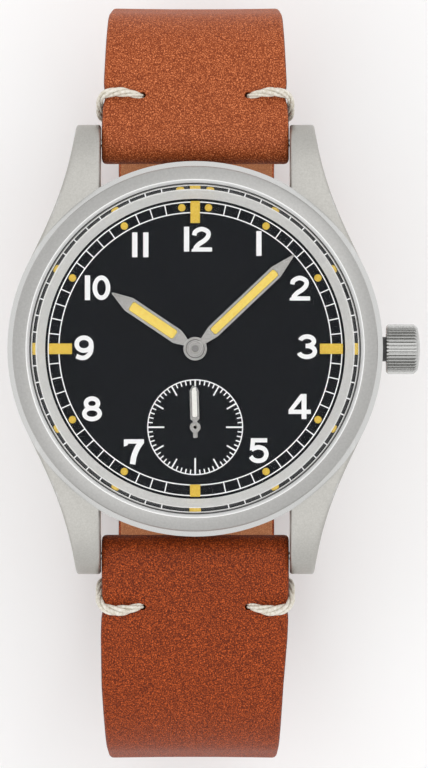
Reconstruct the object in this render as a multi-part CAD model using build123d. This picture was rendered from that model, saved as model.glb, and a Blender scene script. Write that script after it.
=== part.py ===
from build123d import *
from math import asin, atan2, cos, degrees, hypot, pi, radians, sin, sqrt
import os

# A steel field watch with small seconds, closed on a two-piece leather strap with a pin buckle.
# Millimetres. The dial faces +Z, 12 o'clock is +Y and the crown is at +X.
# The origin is the centre of the flat outer face of the case back.

# Driving dimensions
case_r = 18.25
lug_reach = 22.0
strap_w = 18.3
strap_end_w = 16.2
strap_t = 2.0
dial_r = 14.8
crystal_r = 15.95
crystal_rise = 1.1
movement_r = 12.8
seconds_drop = 7.58
crown_r = 2.42
crown_len = 3.3
crown_pull = 1.0

# Levels of the case and the movement, from the case back up to the hands
back_t = 1.2
ratchet_low = 1.4
winding_wheel_t = 0.28
bridge_low = 1.72
bridge_high = 2.62
plate_low = 3.9
plate_high = 5.2
dial_low = 5.9
dial_t = 0.4
dial_high = dial_low + dial_t
seconds_hand_lift = 0.15
hour_hand_lift = 0.45
minute_hand_lift = 0.8
seconds_hand_low = dial_high + seconds_hand_lift
hour_hand_low = dial_high + hour_hand_lift
minute_hand_low = dial_high + minute_hand_lift
stem_z = 3.7

# Clearances
overrun = 1.0
fit_gap = 0.02
run_gap = 0.05
fold_gap = 0.1

pieces = {}


def keep(name, shape):
    """Store a finished piece under its node name."""
    pieces[name] = shape
    return shape


def disc(r, low, high, at=(0, 0)):
    """A round plate about a vertical axis."""
    solid = Cylinder(r, high - low, align=(Align.CENTER, Align.CENTER, Align.MIN))
    return Pos(at[0], at[1], low) * solid


def ring(outer, inner, low, high, at=(0, 0)):
    """A round plate with a bore through it."""
    return disc(outer, low, high, at) - disc(inner, low - overrun, high + overrun, at)


def rod(r, start, end, z=0, y=0):
    """A round bar along X."""
    solid = Cylinder(r, end - start, align=(Align.CENTER, Align.CENTER, Align.MIN))
    return Pos(start, y, z) * Rot(0, 90, 0) * solid


def block(low, high):
    """A box between two corners."""
    size = [b - a for a, b in zip(low, high)]
    return Pos(*low) * Box(*size, align=(Align.MIN, Align.MIN, Align.MIN))


def turned(points):
    """A closed outline of (radius, height) points, turned about Z."""
    return revolve(Plane.XZ * make_face(Polyline(*points, close=True)), Axis.Z)


def link(start, end, r_start, r_end, low, high):
    """A flat lever: two round ends joined by their common tangents."""
    length = hypot(end[0] - start[0], end[1] - start[1])
    turn = degrees(atan2(end[1] - start[1], end[0] - start[0]))
    lean = asin((r_start - r_end) / length)
    s, c = sin(lean), cos(lean)
    web = Polyline(
        (r_start * s, r_start * c),
        (length + r_end * s, r_end * c),
        (length + r_end * s, -r_end * c),
        (r_start * s, -r_start * c),
        close=True,
    )
    flat = make_face(web) + Circle(r_start) + Pos(length, 0) * Circle(r_end)
    return Pos(start[0], start[1], low) * Rot(0, 0, turn) * extrude(flat, high - low)


def polar(at, r, angle):
    """The point at a distance and an angle in degrees from another."""
    return (at[0] + r * cos(radians(angle)), at[1] + r * sin(radians(angle)))


def heading(start, end):
    """The angle in radians of the line from one point to another."""
    return atan2(end[1] - start[1], end[0] - start[0])


# Toothed wheels: straight-sided teeth with room to run, as shares of the module and of the pitch
addendum_share = 0.85
dedendum_share = 1.15
root_half_share = 0.28
tip_half_share = 0.09
hub_share = 0.24
rim_share = 0.8
arm_share = 0.13


def toothed(teeth, module):
    """The outline of a wheel with a tooth centred on its X axis."""
    pitch = 2 * pi / teeth
    r = teeth * module / 2
    tip, root = r + addendum_share * module, r - dedendum_share * module
    corners = (
        (root, -root_half_share),
        (tip, -tip_half_share),
        (tip, tip_half_share),
        (root, root_half_share),
    )
    points = []
    for i in range(teeth):
        for radius, share in corners:
            a = (i + share) * pitch
            points.append((radius * cos(a), radius * sin(a)))
    return make_face(Polyline(*points, close=True))


def gear(teeth, module, low, high, at, turn, arms=0):
    """A spur wheel, solid or crossed out to a few arms; turn is in radians."""
    flat = toothed(teeth, module)
    r = teeth * module / 2
    if arms:
        window = Circle(r * rim_share) - Circle(r * hub_share)
        for i in range(arms):
            spoke = Pos(r / 2, 0) * Rectangle(r, r * arm_share)
            window -= Rot(0, 0, i * 360 / arms) * spoke
        flat -= window
    return Pos(at[0], at[1], low) * Rot(0, 0, degrees(turn)) * extrude(flat, high - low)


def meshed(turn, teeth, other_teeth, angle):
    """The turn of a wheel whose gap takes the tooth of the wheel that drives it."""
    return angle + pi - (turn - angle) * teeth / other_teeth - pi / other_teeth


def spiral_strip(r_in, r_out, turns, thick, low, high, at):
    """A flat coiled spring of half-circle turns, one unbroken strip."""
    halves = 2 * turns
    step = (r_out - r_in - thick) / halves

    def side(offset):
        """One side of the strip, from its inner end out."""
        edges, x = [], -(r_in + offset)
        up = 1
        for i in range(halves):
            r = r_in + offset + step * (i + 1 / 2)
            centre = x + r if i % 2 == 0 else x - r
            far = centre + r if i % 2 == 0 else centre - r
            edges.append(ThreePointArc((x, 0), (centre, up * r), (far, 0)))
            x, up = far, -up
        return edges, x

    inner, inner_end = side(0)
    outer, outer_end = side(thick)
    caps = [
        Line((-r_in, 0), (-r_in - thick, 0)),
        Line((inner_end, 0), (outer_end, 0)),
    ]
    flat = make_face(Curve() + inner + outer + caps)
    return Pos(at[0], at[1], low) * extrude(flat, high - low)


# Mid-case: one machined steel ring with four lugs
case_low = 1.0
case_high = 7.25
movement_ring_w = 1.4
back_step = 0.4
gasket_wall = 0.15
gasket_w = 0.6
gasket_t = 0.35
back_rim_w = 0.35
foot_rim_w = 0.5
waist_w = 1.1
waist_z = 1.9
movement_bore = movement_r + movement_ring_w
back_bore = movement_bore + back_step
back_bore_high = 3.0
gasket_in = back_bore + gasket_wall
gasket_out = gasket_in + gasket_w
back_r = gasket_out + back_rim_w
case_foot_r = back_r + foot_rim_w
case_belly_z = 4.6
case_edge_z = 6.75
case_edge_step = 0.04
bezel_r = 17.72
case_edge_r = bezel_r + case_edge_step
dial_bore = dial_r + run_gap
dial_seat = dial_low - run_gap
skirt_r = 16.3
skirt_inner_r = 15.6
skirt_low = 6.6
lug_play = 0.1
lug_gap = strap_w / 2 + lug_play
lug_tip_w = 2.35
lug_leave_angle = 26.0
lug_mid = (13.4, 14.6)
lug_lean = 0.12
lug_flow = (1.2, 1.3)
lug_top_flat = 9.5
lug_top_low = 3.3
lug_nose_r = 1.35
lug_low = 0.35
lug_fillet = 0.25
bar_set_in = 1.8
bar_y = lug_reach - bar_set_in
bar_z = 2.05
bar_hole_r = 0.42
bar_hole_depth = 1.4
tube_bore_r = 1.22


def lug_plan():
    """One lug seen from above, in the quarter of +X and +Y."""
    leave = (case_r * cos(radians(lug_leave_angle)), case_r * sin(radians(lug_leave_angle)))
    tip = (lug_gap + lug_tip_w, lug_reach)
    flow = Spline(
        leave,
        lug_mid,
        tip,
        tangents=[(-leave[1], leave[0]), (-lug_lean, 1)],
    )
    rest = Polyline(tip, (lug_gap, lug_reach), (lug_gap, 0), (leave[0], 0), leave)
    return make_face(Curve() + [flow, rest])


def lug_side():
    """The lugs' side view, from the case down to both tips."""
    nose = lug_reach - lug_nose_r
    top = (lug_top_flat, case_edge_z)
    rise = Polyline((0, case_low), (0, case_edge_z), top)
    drop = Spline(
        top,
        (lug_reach, lug_top_low - lug_nose_r),
        tangents=[(1, 0), (0, -1)],
        tangent_scalars=lug_flow,
    )
    under = Polyline(
        (lug_reach, lug_top_low - lug_nose_r),
        (lug_reach, lug_low + lug_nose_r / 2),
        (nose, lug_low),
        (case_foot_r, case_low),
        (0, case_low),
    )
    return make_face(Curve() + [rise, drop, under])


def mid_case():
    """The case ring, its four lugs, the bar holes and the bore of the crown tube."""
    round_part = turned([
        (movement_bore, case_low),
        (case_foot_r, case_low),
        (case_foot_r + waist_w, waist_z),
        (case_r, case_belly_z),
        (case_r, case_edge_z),
        (case_edge_r, case_high),
        (movement_bore, case_high),
    ])
    side = extrude(Plane.YZ * lug_side(), case_r + overrun)
    plan = extrude(lug_plan(), case_high)
    quarter = plan & side
    quarter = fillet(
        quarter.edges().filter_by(Axis.Z).filter_by_position(Axis.Y, lug_reach - fit_gap, case_r * 2),
        lug_fillet,
    )
    halves = quarter + mirror(quarter, Plane.XZ)
    lugs = halves + mirror(halves, Plane.YZ)
    body = round_part + lugs
    body -= disc(back_bore, 0, back_bore_high)
    body -= disc(movement_bore, 0, case_high + overrun)
    body -= disc(dial_bore, dial_seat, case_high + overrun)
    body -= disc(skirt_inner_r, dial_high, case_high + overrun)
    body -= disc(skirt_r + run_gap, skirt_low, case_high + overrun)
    body -= ring(gasket_out + fit_gap, gasket_in - fit_gap, 0, case_low + gasket_t)
    body -= rod(tube_bore_r, movement_bore - overrun, case_r + overrun, stem_z)
    for side_y in (-bar_y, bar_y):
        reach = lug_gap + bar_hole_depth
        body -= rod(bar_hole_r, -reach, reach, bar_z, side_y)
    return body


keep("mid_case", mid_case())

# Bezel: a steel ring snapped over the mid-case, holding the crystal
bezel_bore = 16.15
bezel_shelf = 7.7
bezel_lip = 8.5
bezel_top = 8.8
bezel_face_in = 16.42
bezel_face_out = 17.55
bezel_face_low = 8.3
bezel_edge_z = 8.1


def bezel():
    """Skirt, shelf for the crystal, polished inner bevel and sloping face."""
    return turned([
        (skirt_inner_r, skirt_low),
        (skirt_r, skirt_low),
        (skirt_r, case_high),
        (bezel_r, case_high),
        (bezel_r, bezel_edge_z),
        (bezel_face_out, bezel_face_low),
        (bezel_face_in, bezel_top),
        (bezel_bore, bezel_lip),
        (bezel_bore, bezel_shelf),
        (skirt_inner_r, bezel_shelf),
    ])


keep("bezel", bezel())

# Crystal: a domed mineral glass with a bevelled edge, in a nylon gasket
crystal_low = bezel_shelf + fit_gap
crystal_edge_z = 8.1
crystal_bevel_r = 15.45
crystal_bevel_z = 9.2
crystal_inner_r = 15.0
crystal_inner_rise = 0.95
crystal_gasket_high = 8.45


def crystal():
    """The domed glass, hollow on its under side."""
    top = (0, crystal_bevel_z + crystal_rise)
    hollow = (0, crystal_low + crystal_inner_rise)
    outer = TangentArc(top, (crystal_bevel_r, crystal_bevel_z), tangent=(1, 0))
    inner = TangentArc(hollow, (crystal_inner_r, crystal_low), tangent=(1, 0))
    axis = Line(top, hollow)
    edge = Polyline(
        (crystal_inner_r, crystal_low),
        (crystal_r, crystal_low),
        (crystal_r, crystal_edge_z),
        (crystal_bevel_r, crystal_bevel_z),
    )
    return revolve(Plane.XZ * make_face(Curve() + [outer, axis, inner, edge]), Axis.Z)


keep("crystal", crystal())
keep("crystal_gasket", ring(bezel_bore - fit_gap, crystal_r + fit_gap, crystal_low, crystal_gasket_high))

# Rehaut ring: the sloping satin ring between dial and crystal
rehaut_low_r = 14.5
rehaut_high_r = 15.3
rehaut_high = 7.55

keep("rehaut_ring", turned([
    (rehaut_low_r, dial_high),
    (skirt_inner_r - run_gap, dial_high),
    (skirt_inner_r - run_gap, rehaut_high),
    (rehaut_high_r, rehaut_high),
    (rehaut_low_r, dial_high + fold_gap),
]))

# Case back: screwed in, with six notches for the case key, on a rubber gasket
back_chamfer = 0.35
back_skirt_w = 1.4
back_skirt_in = back_bore - back_skirt_w
back_skirt_high = 2.6
notch_count = 6
notch_w = 1.6
notch_deep = 0.8
notch_t = 0.6


def case_back():
    """The flat back with its threaded skirt and key notches."""
    back = turned([
        (0, 0),
        (back_r - back_chamfer, 0),
        (back_r, back_chamfer),
        (back_r, case_low),
        (back_bore - run_gap, case_low),
        (back_bore - run_gap, back_skirt_high),
        (back_skirt_in, back_skirt_high),
        (back_skirt_in, back_t),
        (0, back_t),
    ])
    notch = block((back_r - notch_deep, -notch_w / 2, -overrun), (back_r + overrun, notch_w / 2, notch_t))
    for i in range(notch_count):
        back -= Rot(0, 0, i * 360 / notch_count) * notch
    return back


keep("case_back", case_back())
keep("case_back_gasket", ring(gasket_out, gasket_in, case_low, case_low + gasket_t))

# Crown, its tube, gasket and stem, all about one axis along X
crown_lift = 0.4
crown_start = case_r + crown_lift
crown_teeth = 40
crown_module = crown_r / (crown_teeth / 2 + addendum_share)
crown_bore_r = 1.55
crown_bore_len = 1.95
crown_bevel = 0.35
crown_dome = 0.25
tube_room = 0.3
tube_out = 1.85
tube_start = movement_bore + tube_room
tube_end = case_r + tube_out
tube_r = 1.2
tube_in_r = 0.62
crown_gasket_len = 0.6
crown_gasket_at = 0.3
stem_r = 0.5
stem_thread_r = 0.4
stem_inner = 6.6
stem_hub_r = 0.58
stem_hub = (9.6, 11.4)
stem_groove = (10.2, 10.65)
stem_groove_r = 0.3
stem_thread_len = 0.9


def crown():
    """A knurled crown with a bevelled rim, a slightly domed face and a blind bore."""
    end = crown_start + crown_len
    knurl = Pos(crown_start, 0, stem_z) * Rot(0, 90, 0) * extrude(
        toothed(crown_teeth, crown_module), crown_len
    )
    shape = Polyline(
        (0, crown_start),
        (crown_r - crown_bevel / 2, crown_start),
        (crown_r, crown_start + crown_bevel / 2),
        (crown_r, end - crown_dome - crown_bevel),
        (crown_r - crown_bevel, end - crown_dome),
    )
    dome = TangentArc((0, end), (crown_r - crown_bevel, end - crown_dome), tangent=(1, 0))
    axis = Line((0, end), (0, crown_start))
    round_form = revolve(Plane.XZ * make_face(Curve() + [shape, dome, axis]), Axis.Z)
    body = knurl & (Pos(0, 0, stem_z) * Rot(0, 90, 0) * round_form)
    body -= rod(crown_bore_r, crown_start - overrun, crown_start + crown_bore_len, stem_z)
    hole_end = crown_start + crown_bore_len + stem_thread_len
    return body - rod(stem_thread_r + fit_gap, crown_start, hole_end, stem_z)


keep("crown", crown())
keep("crown_tube", rod(tube_r, tube_start, tube_end, stem_z)
     - rod(tube_in_r, tube_start - overrun, tube_end + overrun, stem_z))
gasket_start = crown_start + crown_gasket_at
keep("crown_gasket", rod(crown_bore_r - fit_gap, gasket_start, gasket_start + crown_gasket_len, stem_z)
     - rod(tube_r + fit_gap, gasket_start - overrun, gasket_start + crown_gasket_len + overrun, stem_z))


def stem():
    """The winding stem, with the hub and groove that the setting lever holds."""
    shoulder = crown_start + crown_bore_len - run_gap
    body = rod(stem_r, stem_inner, shoulder, stem_z)
    body += rod(stem_hub_r, *stem_hub, stem_z)
    body += rod(stem_thread_r, shoulder, shoulder + stem_thread_len - run_gap, stem_z)
    neck = rod(stem_hub_r + overrun, *stem_groove, stem_z) - rod(stem_groove_r, *stem_groove, stem_z)
    return body - neck


keep("stem", stem())

# Places of the arbors, seen from the dial, and the tooth counts that set them
centre_at = (0, 0)
fourth_at = (0, -seconds_drop)
barrel_angle = 70.0
barrel_teeth, centre_leaves, barrel_module = 80, 10, 0.142
barrel_at = polar(centre_at, (barrel_teeth + centre_leaves) * barrel_module / 2, barrel_angle)
centre_teeth, third_leaves, centre_module = 64, 8, 0.13
third_teeth, fourth_leaves, third_module = 60, 8, 0.125
centre_to_third = (centre_teeth + third_leaves) * centre_module / 2
third_to_fourth = (third_teeth + fourth_leaves) * third_module / 2
third_y = -(seconds_drop**2 + centre_to_third**2 - third_to_fourth**2) / (2 * seconds_drop)
third_at = (sqrt(centre_to_third**2 - third_y**2), third_y)
fourth_teeth, escape_leaves, fourth_module = 70, 7, 0.1
escape_angle = 150.0
escape_at = polar(fourth_at, (fourth_teeth + escape_leaves) * fourth_module / 2, escape_angle)
escape_r = 1.9
escape_tooth_count = 15
pallet_angle = 135.0
pallet_reach = 2.3
balance_reach = 3.4
pallet_at = polar(escape_at, pallet_reach, pallet_angle)
balance_at = polar(pallet_at, balance_reach, pallet_angle)

# Turn of each wheel at rest, so that teeth stand in gaps
barrel_turn = 0.0
centre_turn = meshed(barrel_turn, barrel_teeth, centre_leaves, heading(barrel_at, centre_at))
third_turn = meshed(centre_turn, centre_teeth, third_leaves, heading(centre_at, third_at))
fourth_turn = meshed(third_turn, third_teeth, fourth_leaves, heading(third_at, fourth_at))
escape_turn = meshed(fourth_turn, fourth_teeth, escape_leaves, heading(fourth_at, escape_at))

# Mainspring barrel: drum, cover, arbor and the coiled spring
drum_low = 3.18
drum_high = 4.3
drum_r = 5.3
drum_wall = 0.35
drum_floor_t = 0.18
drum_teeth_z = (3.45, 3.75)
cover_t = 0.16
arbor_core_r = 1.2
arbor_r = 0.75
arbor_pivot_r = 0.5
arbor_square = 1.0
mainspring_turns = 8
mainspring_t = 0.14
ratchet_screw_r = 0.3
ratchet_screw_deep = 1.1
ratchet_head_r = 0.9
ratchet_head_t = 0.14
plate_web_high = 4.62

drum = disc(drum_r, drum_low, drum_high, barrel_at)
drum += gear(barrel_teeth, barrel_module, *drum_teeth_z, barrel_at, barrel_turn)
drum -= disc(drum_r - drum_wall, drum_low - overrun, drum_high - drum_floor_t, barrel_at)
drum -= disc(arbor_pivot_r + run_gap, drum_low, drum_high + overrun, barrel_at)
keep("barrel_drum", drum)
keep("barrel_cover", ring(
    drum_r - drum_wall - fit_gap, arbor_r + run_gap, drum_low, drum_low + cover_t, barrel_at
))
keep("mainspring", spiral_strip(
    arbor_core_r + fold_gap,
    drum_r - drum_wall - fold_gap,
    mainspring_turns,
    mainspring_t,
    drum_low + cover_t + run_gap,
    drum_high - drum_floor_t - run_gap,
    barrel_at,
))


def barrel_arbor():
    """The core that the spring hooks on, its pivots and the square for the ratchet wheel."""
    body = disc(arbor_core_r, drum_low + cover_t + run_gap, drum_high - drum_floor_t - run_gap, barrel_at)
    body += disc(arbor_r, bridge_low, drum_low + cover_t + run_gap, barrel_at)
    body += disc(arbor_pivot_r, drum_high - drum_floor_t - run_gap, plate_web_high, barrel_at)
    half = arbor_square / 2
    x, y = barrel_at
    body += block((x - half, y - half, ratchet_low), (x + half, y + half, bridge_low))
    return body - disc(ratchet_screw_r + fit_gap, 0, ratchet_low + ratchet_screw_deep, barrel_at)


keep("barrel_arbor", barrel_arbor())

# Winding work: winding pinion, clutch, crown wheel, ratchet wheel, click and its spring
winding_teeth, crown_wheel_teeth, ratchet_teeth = 15, 22, 42
crown_wheel_at = (6.6, 0)
ratchet_span = hypot(crown_wheel_at[0] - barrel_at[0], crown_wheel_at[1] - barrel_at[1])
winding_module = 2 * ratchet_span / (crown_wheel_teeth + ratchet_teeth)
crown_wheel_r = crown_wheel_teeth * winding_module / 2
ratchet_high = ratchet_low + winding_wheel_t
contrate_r = (2.15, 2.5)
contrate_w = 0.2
contrate_high = 2.14
crown_wheel_hub_r = 1.1
winding_pinion_x = (8.55, 9.5)
winding_pinion_r = 1.55
winding_pinion_module = 2 * winding_pinion_r / winding_teeth
clutch_x = (6.95, 8.45)
clutch_r = 1.15
clutch_groove_x = (7.55, 8.0)
clutch_groove_r = 0.75
clutch_teeth = 14
clutch_notch = 0.18
sleeve_bore_r = stem_r + run_gap
crown_wheel_turn = pi / crown_wheel_teeth
ratchet_turn = meshed(
    crown_wheel_turn, crown_wheel_teeth, ratchet_teeth, heading(crown_wheel_at, barrel_at)
)


def crown_wheel():
    """A flat wheel with edge teeth for the ratchet and face teeth for the winding pinion."""
    body = gear(
        crown_wheel_teeth, winding_module, ratchet_low, ratchet_high, crown_wheel_at, crown_wheel_turn
    )
    tooth = block(
        (contrate_r[0], -contrate_w / 2, ratchet_high), (contrate_r[1], contrate_w / 2, contrate_high)
    )
    for i in range(crown_wheel_teeth):
        angle = degrees(crown_wheel_turn) + i * 360 / crown_wheel_teeth
        body += Pos(*crown_wheel_at, 0) * Rot(0, 0, angle) * tooth
    return body - disc(crown_wheel_hub_r + run_gap, 0, plate_low, crown_wheel_at)


def axial_gear(teeth, module, start, end, turn):
    """A pinion about the stem's axis."""
    body = extrude(toothed(teeth, module), end - start)
    return Pos(start, 0, stem_z) * Rot(0, 90, 0) * Rot(0, 0, degrees(turn)) * body


keep("crown_wheel", crown_wheel())
ratchet = gear(ratchet_teeth, winding_module, ratchet_low, ratchet_high, barrel_at, ratchet_turn)
square_half = arbor_square / 2 + fit_gap
ratchet -= block(
    (barrel_at[0] - square_half, barrel_at[1] - square_half, 0),
    (barrel_at[0] + square_half, barrel_at[1] + square_half, plate_low),
)
ratchet_screw = disc(ratchet_head_r, ratchet_low - ratchet_head_t, ratchet_low, barrel_at)
ratchet_screw += disc(ratchet_screw_r, ratchet_low, ratchet_low + ratchet_screw_deep - run_gap, barrel_at)
keep("ratchet_wheel_and_screw", Compound(children=[*ratchet.solids(), *ratchet_screw.solids()]))
keep("winding_pinion", axial_gear(winding_teeth, winding_pinion_module, *winding_pinion_x, 0)
     - rod(sleeve_bore_r, *winding_pinion_x, stem_z))


def clutch():
    """The sliding pinion: a grooved sleeve with end teeth that turn the setting wheel."""
    body = rod(clutch_r, *clutch_x, stem_z)
    groove = rod(clutch_r + overrun, *clutch_groove_x, stem_z)
    body -= groove - rod(clutch_groove_r, *clutch_groove_x, stem_z)
    notch = block(
        (clutch_x[0] - overrun, -clutch_notch / 2, clutch_groove_r),
        (clutch_x[0] + clutch_notch * 2, clutch_notch / 2, clutch_r + overrun),
    )
    for i in range(clutch_teeth):
        body -= Pos(0, 0, stem_z) * Rot(i * 360 / clutch_teeth, 0, 0) * notch
    return body - rod(sleeve_bore_r, *clutch_x, stem_z)


keep("clutch", clutch())

click_angle = 200.0
click_pivot_r = 6.7
click_nose_angle = 189.0
click_nose_r = 5.12
click_pivot_w = 0.62
click_nose_w = 0.14
click_pin_r = 0.3
click_spring_w = 0.14
click_spring_off = 0.35
click_spring_len = 2.4
click_at = polar(barrel_at, click_pivot_r, click_angle)
click_nose = polar(barrel_at, click_nose_r, click_nose_angle)
click = link(click_at, click_nose, click_pivot_w, click_nose_w, ratchet_low, ratchet_high)
keep("click", click - disc(click_pin_r + run_gap, 0, plate_low, click_at))


def click_spring():
    """A thin bent spring lying behind the click, held in a boss of the barrel bridge."""
    along = degrees(heading(click_at, click_nose))
    away = polar(click_at, click_pivot_w + click_spring_off, along + 90)
    end = polar(away, click_spring_len, along)
    body = link(away, end, click_spring_w, click_spring_w, ratchet_low, ratchet_high)
    return body + disc(click_spring_w * 2, ratchet_low, bridge_low, away)


keep("click_spring", click_spring())

# Going train: wheels on steel arbors between the bridges and the mainplate
wheel_t = 0.15
centre_wheel_low = 2.95
third_wheel_low = 3.2
fourth_wheel_low = 3.62
escape_wheel_low = 3.37
pivot_r = 0.11
train_arbor_r = 0.22
centre_arbor_r = 0.34
centre_leaf_low = 3.42
centre_post_r = 0.5
jewel_r = 0.5
jewel_t = 0.3
wheel_arms = 4
pivot_len = 0.28
seconds_pivot_r = 0.16
seconds_hand_t = 0.1


def pivoted(at, r, low, high):
    """An arbor between its two jewels, with a fine pivot at each end."""
    body = disc(r, low, high, at)
    body += disc(pivot_r, low - pivot_len, low, at)
    return body + disc(pivot_r, high, high + pivot_len, at)


train_low = bridge_high + run_gap
train_high = plate_low - run_gap
centre_rise = 0.4
centre_top = minute_hand_low + centre_rise


def centre_wheel():
    """Centre wheel and pinion on the arbor that carries the cannon pinion."""
    body = gear(
        centre_teeth, centre_module, centre_wheel_low, centre_wheel_low + wheel_t,
        centre_at, centre_turn, wheel_arms,
    )
    body += gear(
        centre_leaves, barrel_module, centre_leaf_low, train_high, centre_at, centre_turn
    )
    body += disc(centre_post_r, train_low, train_high, centre_at)
    body += disc(centre_arbor_r, train_high, centre_top, centre_at)
    return body + disc(centre_arbor_r, train_low - pivot_len, train_low, centre_at)


def third_wheel():
    """Third wheel with its pinion under the centre wheel."""
    body = pivoted(third_at, train_arbor_r, train_low, train_high)
    body += gear(
        third_teeth, third_module, third_wheel_low, third_wheel_low + wheel_t,
        third_at, third_turn, wheel_arms,
    )
    return body + gear(
        third_leaves, centre_module, centre_wheel_low - run_gap, third_wheel_low, third_at, third_turn
    )


def fourth_wheel():
    """Fourth wheel; its long upper pivot carries the small seconds hand."""
    body = pivoted(fourth_at, train_arbor_r, train_low, train_high)
    body += gear(
        fourth_teeth, fourth_module, fourth_wheel_low, fourth_wheel_low + wheel_t,
        fourth_at, fourth_turn, wheel_arms,
    )
    body += gear(
        fourth_leaves, third_module, third_wheel_low - run_gap, fourth_wheel_low, fourth_at, fourth_turn
    )
    return body + disc(seconds_pivot_r, train_high, seconds_hand_low + seconds_hand_t, fourth_at)


keep("centre_wheel", centre_wheel())
keep("third_wheel", third_wheel())
keep("fourth_wheel", fourth_wheel())

# Escapement: escape wheel, pallet fork, balance wheel and hairspring
escape_tooth_shares = ((0.80, 0.0), (0.985, 0.22), (1.0, 0.34), (0.83, 0.16), (0.78, 0.5))
escape_rim_share = 0.66
escape_hub_share = 0.22
escape_arm_w = 0.2


def escape_wheel():
    """Fifteen hooked teeth on a crossed-out wheel, with its pinion."""
    pitch = 2 * pi / escape_tooth_count
    points = []
    for i in range(escape_tooth_count):
        for r_share, turn_share in escape_tooth_shares:
            a = (i + turn_share) * pitch
            points.append((escape_r * r_share * cos(a), escape_r * r_share * sin(a)))
    flat = make_face(Polyline(*points, close=True))
    window = Circle(escape_r * escape_rim_share) - Circle(escape_r * escape_hub_share)
    for i in range(wheel_arms):
        window -= Rot(0, 0, i * 360 / wheel_arms) * Pos(escape_r / 2, 0) * Rectangle(escape_r, escape_arm_w)
    body = Pos(*escape_at, escape_wheel_low) * extrude(flat - window, wheel_t)
    body += pivoted(escape_at, train_arbor_r, train_low, train_high)
    return body + gear(
        escape_leaves, fourth_module, fourth_wheel_low - run_gap, train_high, escape_at, escape_turn
    )


keep("escape_wheel", escape_wheel())

fork_z = (3.35, 3.58)
fork_root_w = 0.3
fork_tip_w = 0.16
fork_end_gap = 0.95
fork_horn_len = 0.45
fork_horn_w = 0.11
fork_horn_off = 0.2
pallet_arm_spread = 62.0
pallet_arm_len = 1.2
pallet_arm_w = 0.15
stone_w = 0.16
pallet_bridge_z = (2.9, 3.2)


def pallet_fork():
    """The anchor: two arms with pallet stones, a lever and the fork's two horns."""
    outward = pallet_angle
    lever_end = polar(pallet_at, balance_reach - fork_end_gap - fork_horn_len, outward)
    body = link(pallet_at, lever_end, fork_root_w, fork_tip_w, *fork_z)
    for side in (-1, 1):
        root = polar(lever_end, fork_horn_off, outward + side * 90)
        tip = polar(root, fork_horn_len, outward)
        body += link(lever_end, root, fork_tip_w, fork_horn_w, *fork_z)
        body += link(root, tip, fork_horn_w, fork_horn_w / 2, *fork_z)
        arm_end = polar(pallet_at, pallet_arm_len, outward + 180 + side * pallet_arm_spread)
        body += link(pallet_at, arm_end, fork_root_w, pallet_arm_w, *fork_z)
    body += disc(train_arbor_r, pallet_bridge_z[1] + run_gap, train_high, pallet_at)
    body += disc(pivot_r, pallet_bridge_z[0], pallet_bridge_z[1] + run_gap, pallet_at)
    return body + disc(pivot_r, train_high, train_high + pivot_len, pallet_at)


keep("pallet_fork", pallet_fork())

balance_r = 4.4
balance_rim_w = 0.5
balance_z = (2.5, 2.8)
balance_arm_w = 0.4
balance_screws = 12
balance_screw_r = 0.14
balance_screw_len = 0.28
cock_z = (1.72, 2.18)
hairspring_z = (2.27, 2.39)
hairspring_r = 2.1
hairspring_turns = 6
hairspring_t = 0.09
collet_r = 0.42
roller_r = 0.75
roller_z = (3.25, 3.35)
impulse_at = 0.6
impulse_r = 0.09
balance_pivot = 0.3


def balance_wheel():
    """Rim with timing screws, two arms, staff, collet, roller and impulse pin."""
    body = ring(balance_r, balance_r - balance_rim_w, *balance_z, balance_at)
    arm = Rot(0, 0, pallet_angle) * Box(
        2 * balance_r - balance_rim_w, balance_arm_w, balance_z[1] - balance_z[0],
        align=(Align.CENTER, Align.CENTER, Align.MIN),
    )
    body += Pos(*balance_at, balance_z[0]) * arm
    screw_z = sum(balance_z) / 2
    for i in range(balance_screws):
        shank = rod(balance_screw_r, balance_r - balance_rim_w / 2, balance_r + balance_screw_len)
        turn = (i + 1 / 2) * 360 / balance_screws
        body += Pos(*balance_at, screw_z) * Rot(0, 0, turn) * shank
    staff_low = cock_z[1] + run_gap
    body += disc(train_arbor_r, staff_low, train_high, balance_at)
    body += disc(collet_r, hairspring_z[0], hairspring_z[1], balance_at)
    body += disc(roller_r, *roller_z, balance_at)
    body += disc(impulse_r, roller_z[1], fork_z[1], polar(balance_at, impulse_at, pallet_angle + 180))
    body += disc(pivot_r, staff_low - balance_pivot, staff_low, balance_at)
    return body + disc(pivot_r, train_high, train_high + pivot_len, balance_at)


keep("balance_wheel", balance_wheel())
keep("hairspring", spiral_strip(
    collet_r + fit_gap, hairspring_r, hairspring_turns, hairspring_t, *hairspring_z, balance_at
))

# Motion work under the dial: cannon pinion, minute wheel, hour wheel and setting wheel
cannon_leaves, minute_teeth, cannon_module = 12, 36, 0.125
minute_leaves, hour_teeth = 10, 40
minute_reach = (cannon_leaves + minute_teeth) * cannon_module / 2
hour_module = 2 * minute_reach / (minute_leaves + hour_teeth)
minute_angle = 30.0
minute_at = polar(centre_at, minute_reach, minute_angle)
setting_teeth = 14
setting_x = 5.5
setting_reach = (minute_teeth + setting_teeth) * cannon_module / 2
setting_at = (setting_x, minute_at[1] - sqrt(setting_reach**2 - (setting_x - minute_at[0])**2))
works_floor = 4.65
works_wheel_z = (4.72, 4.92)
cannon_leaf_high = 5.2
cannon_r = 0.58
cannon_bore_r = centre_arbor_r + fit_gap
minute_pinion_high = 5.66
minute_post_r = 0.24
minute_post_high = 5.7
hour_wheel_z = (5.3, 5.52)
hour_pipe_in_r = cannon_r + run_gap
hour_pipe_r = 0.95
setting_post_r = 0.28
cannon_turn = 0.0
minute_turn = meshed(cannon_turn, cannon_leaves, minute_teeth, radians(minute_angle))
minute_leaf_turn = 0.0
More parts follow.
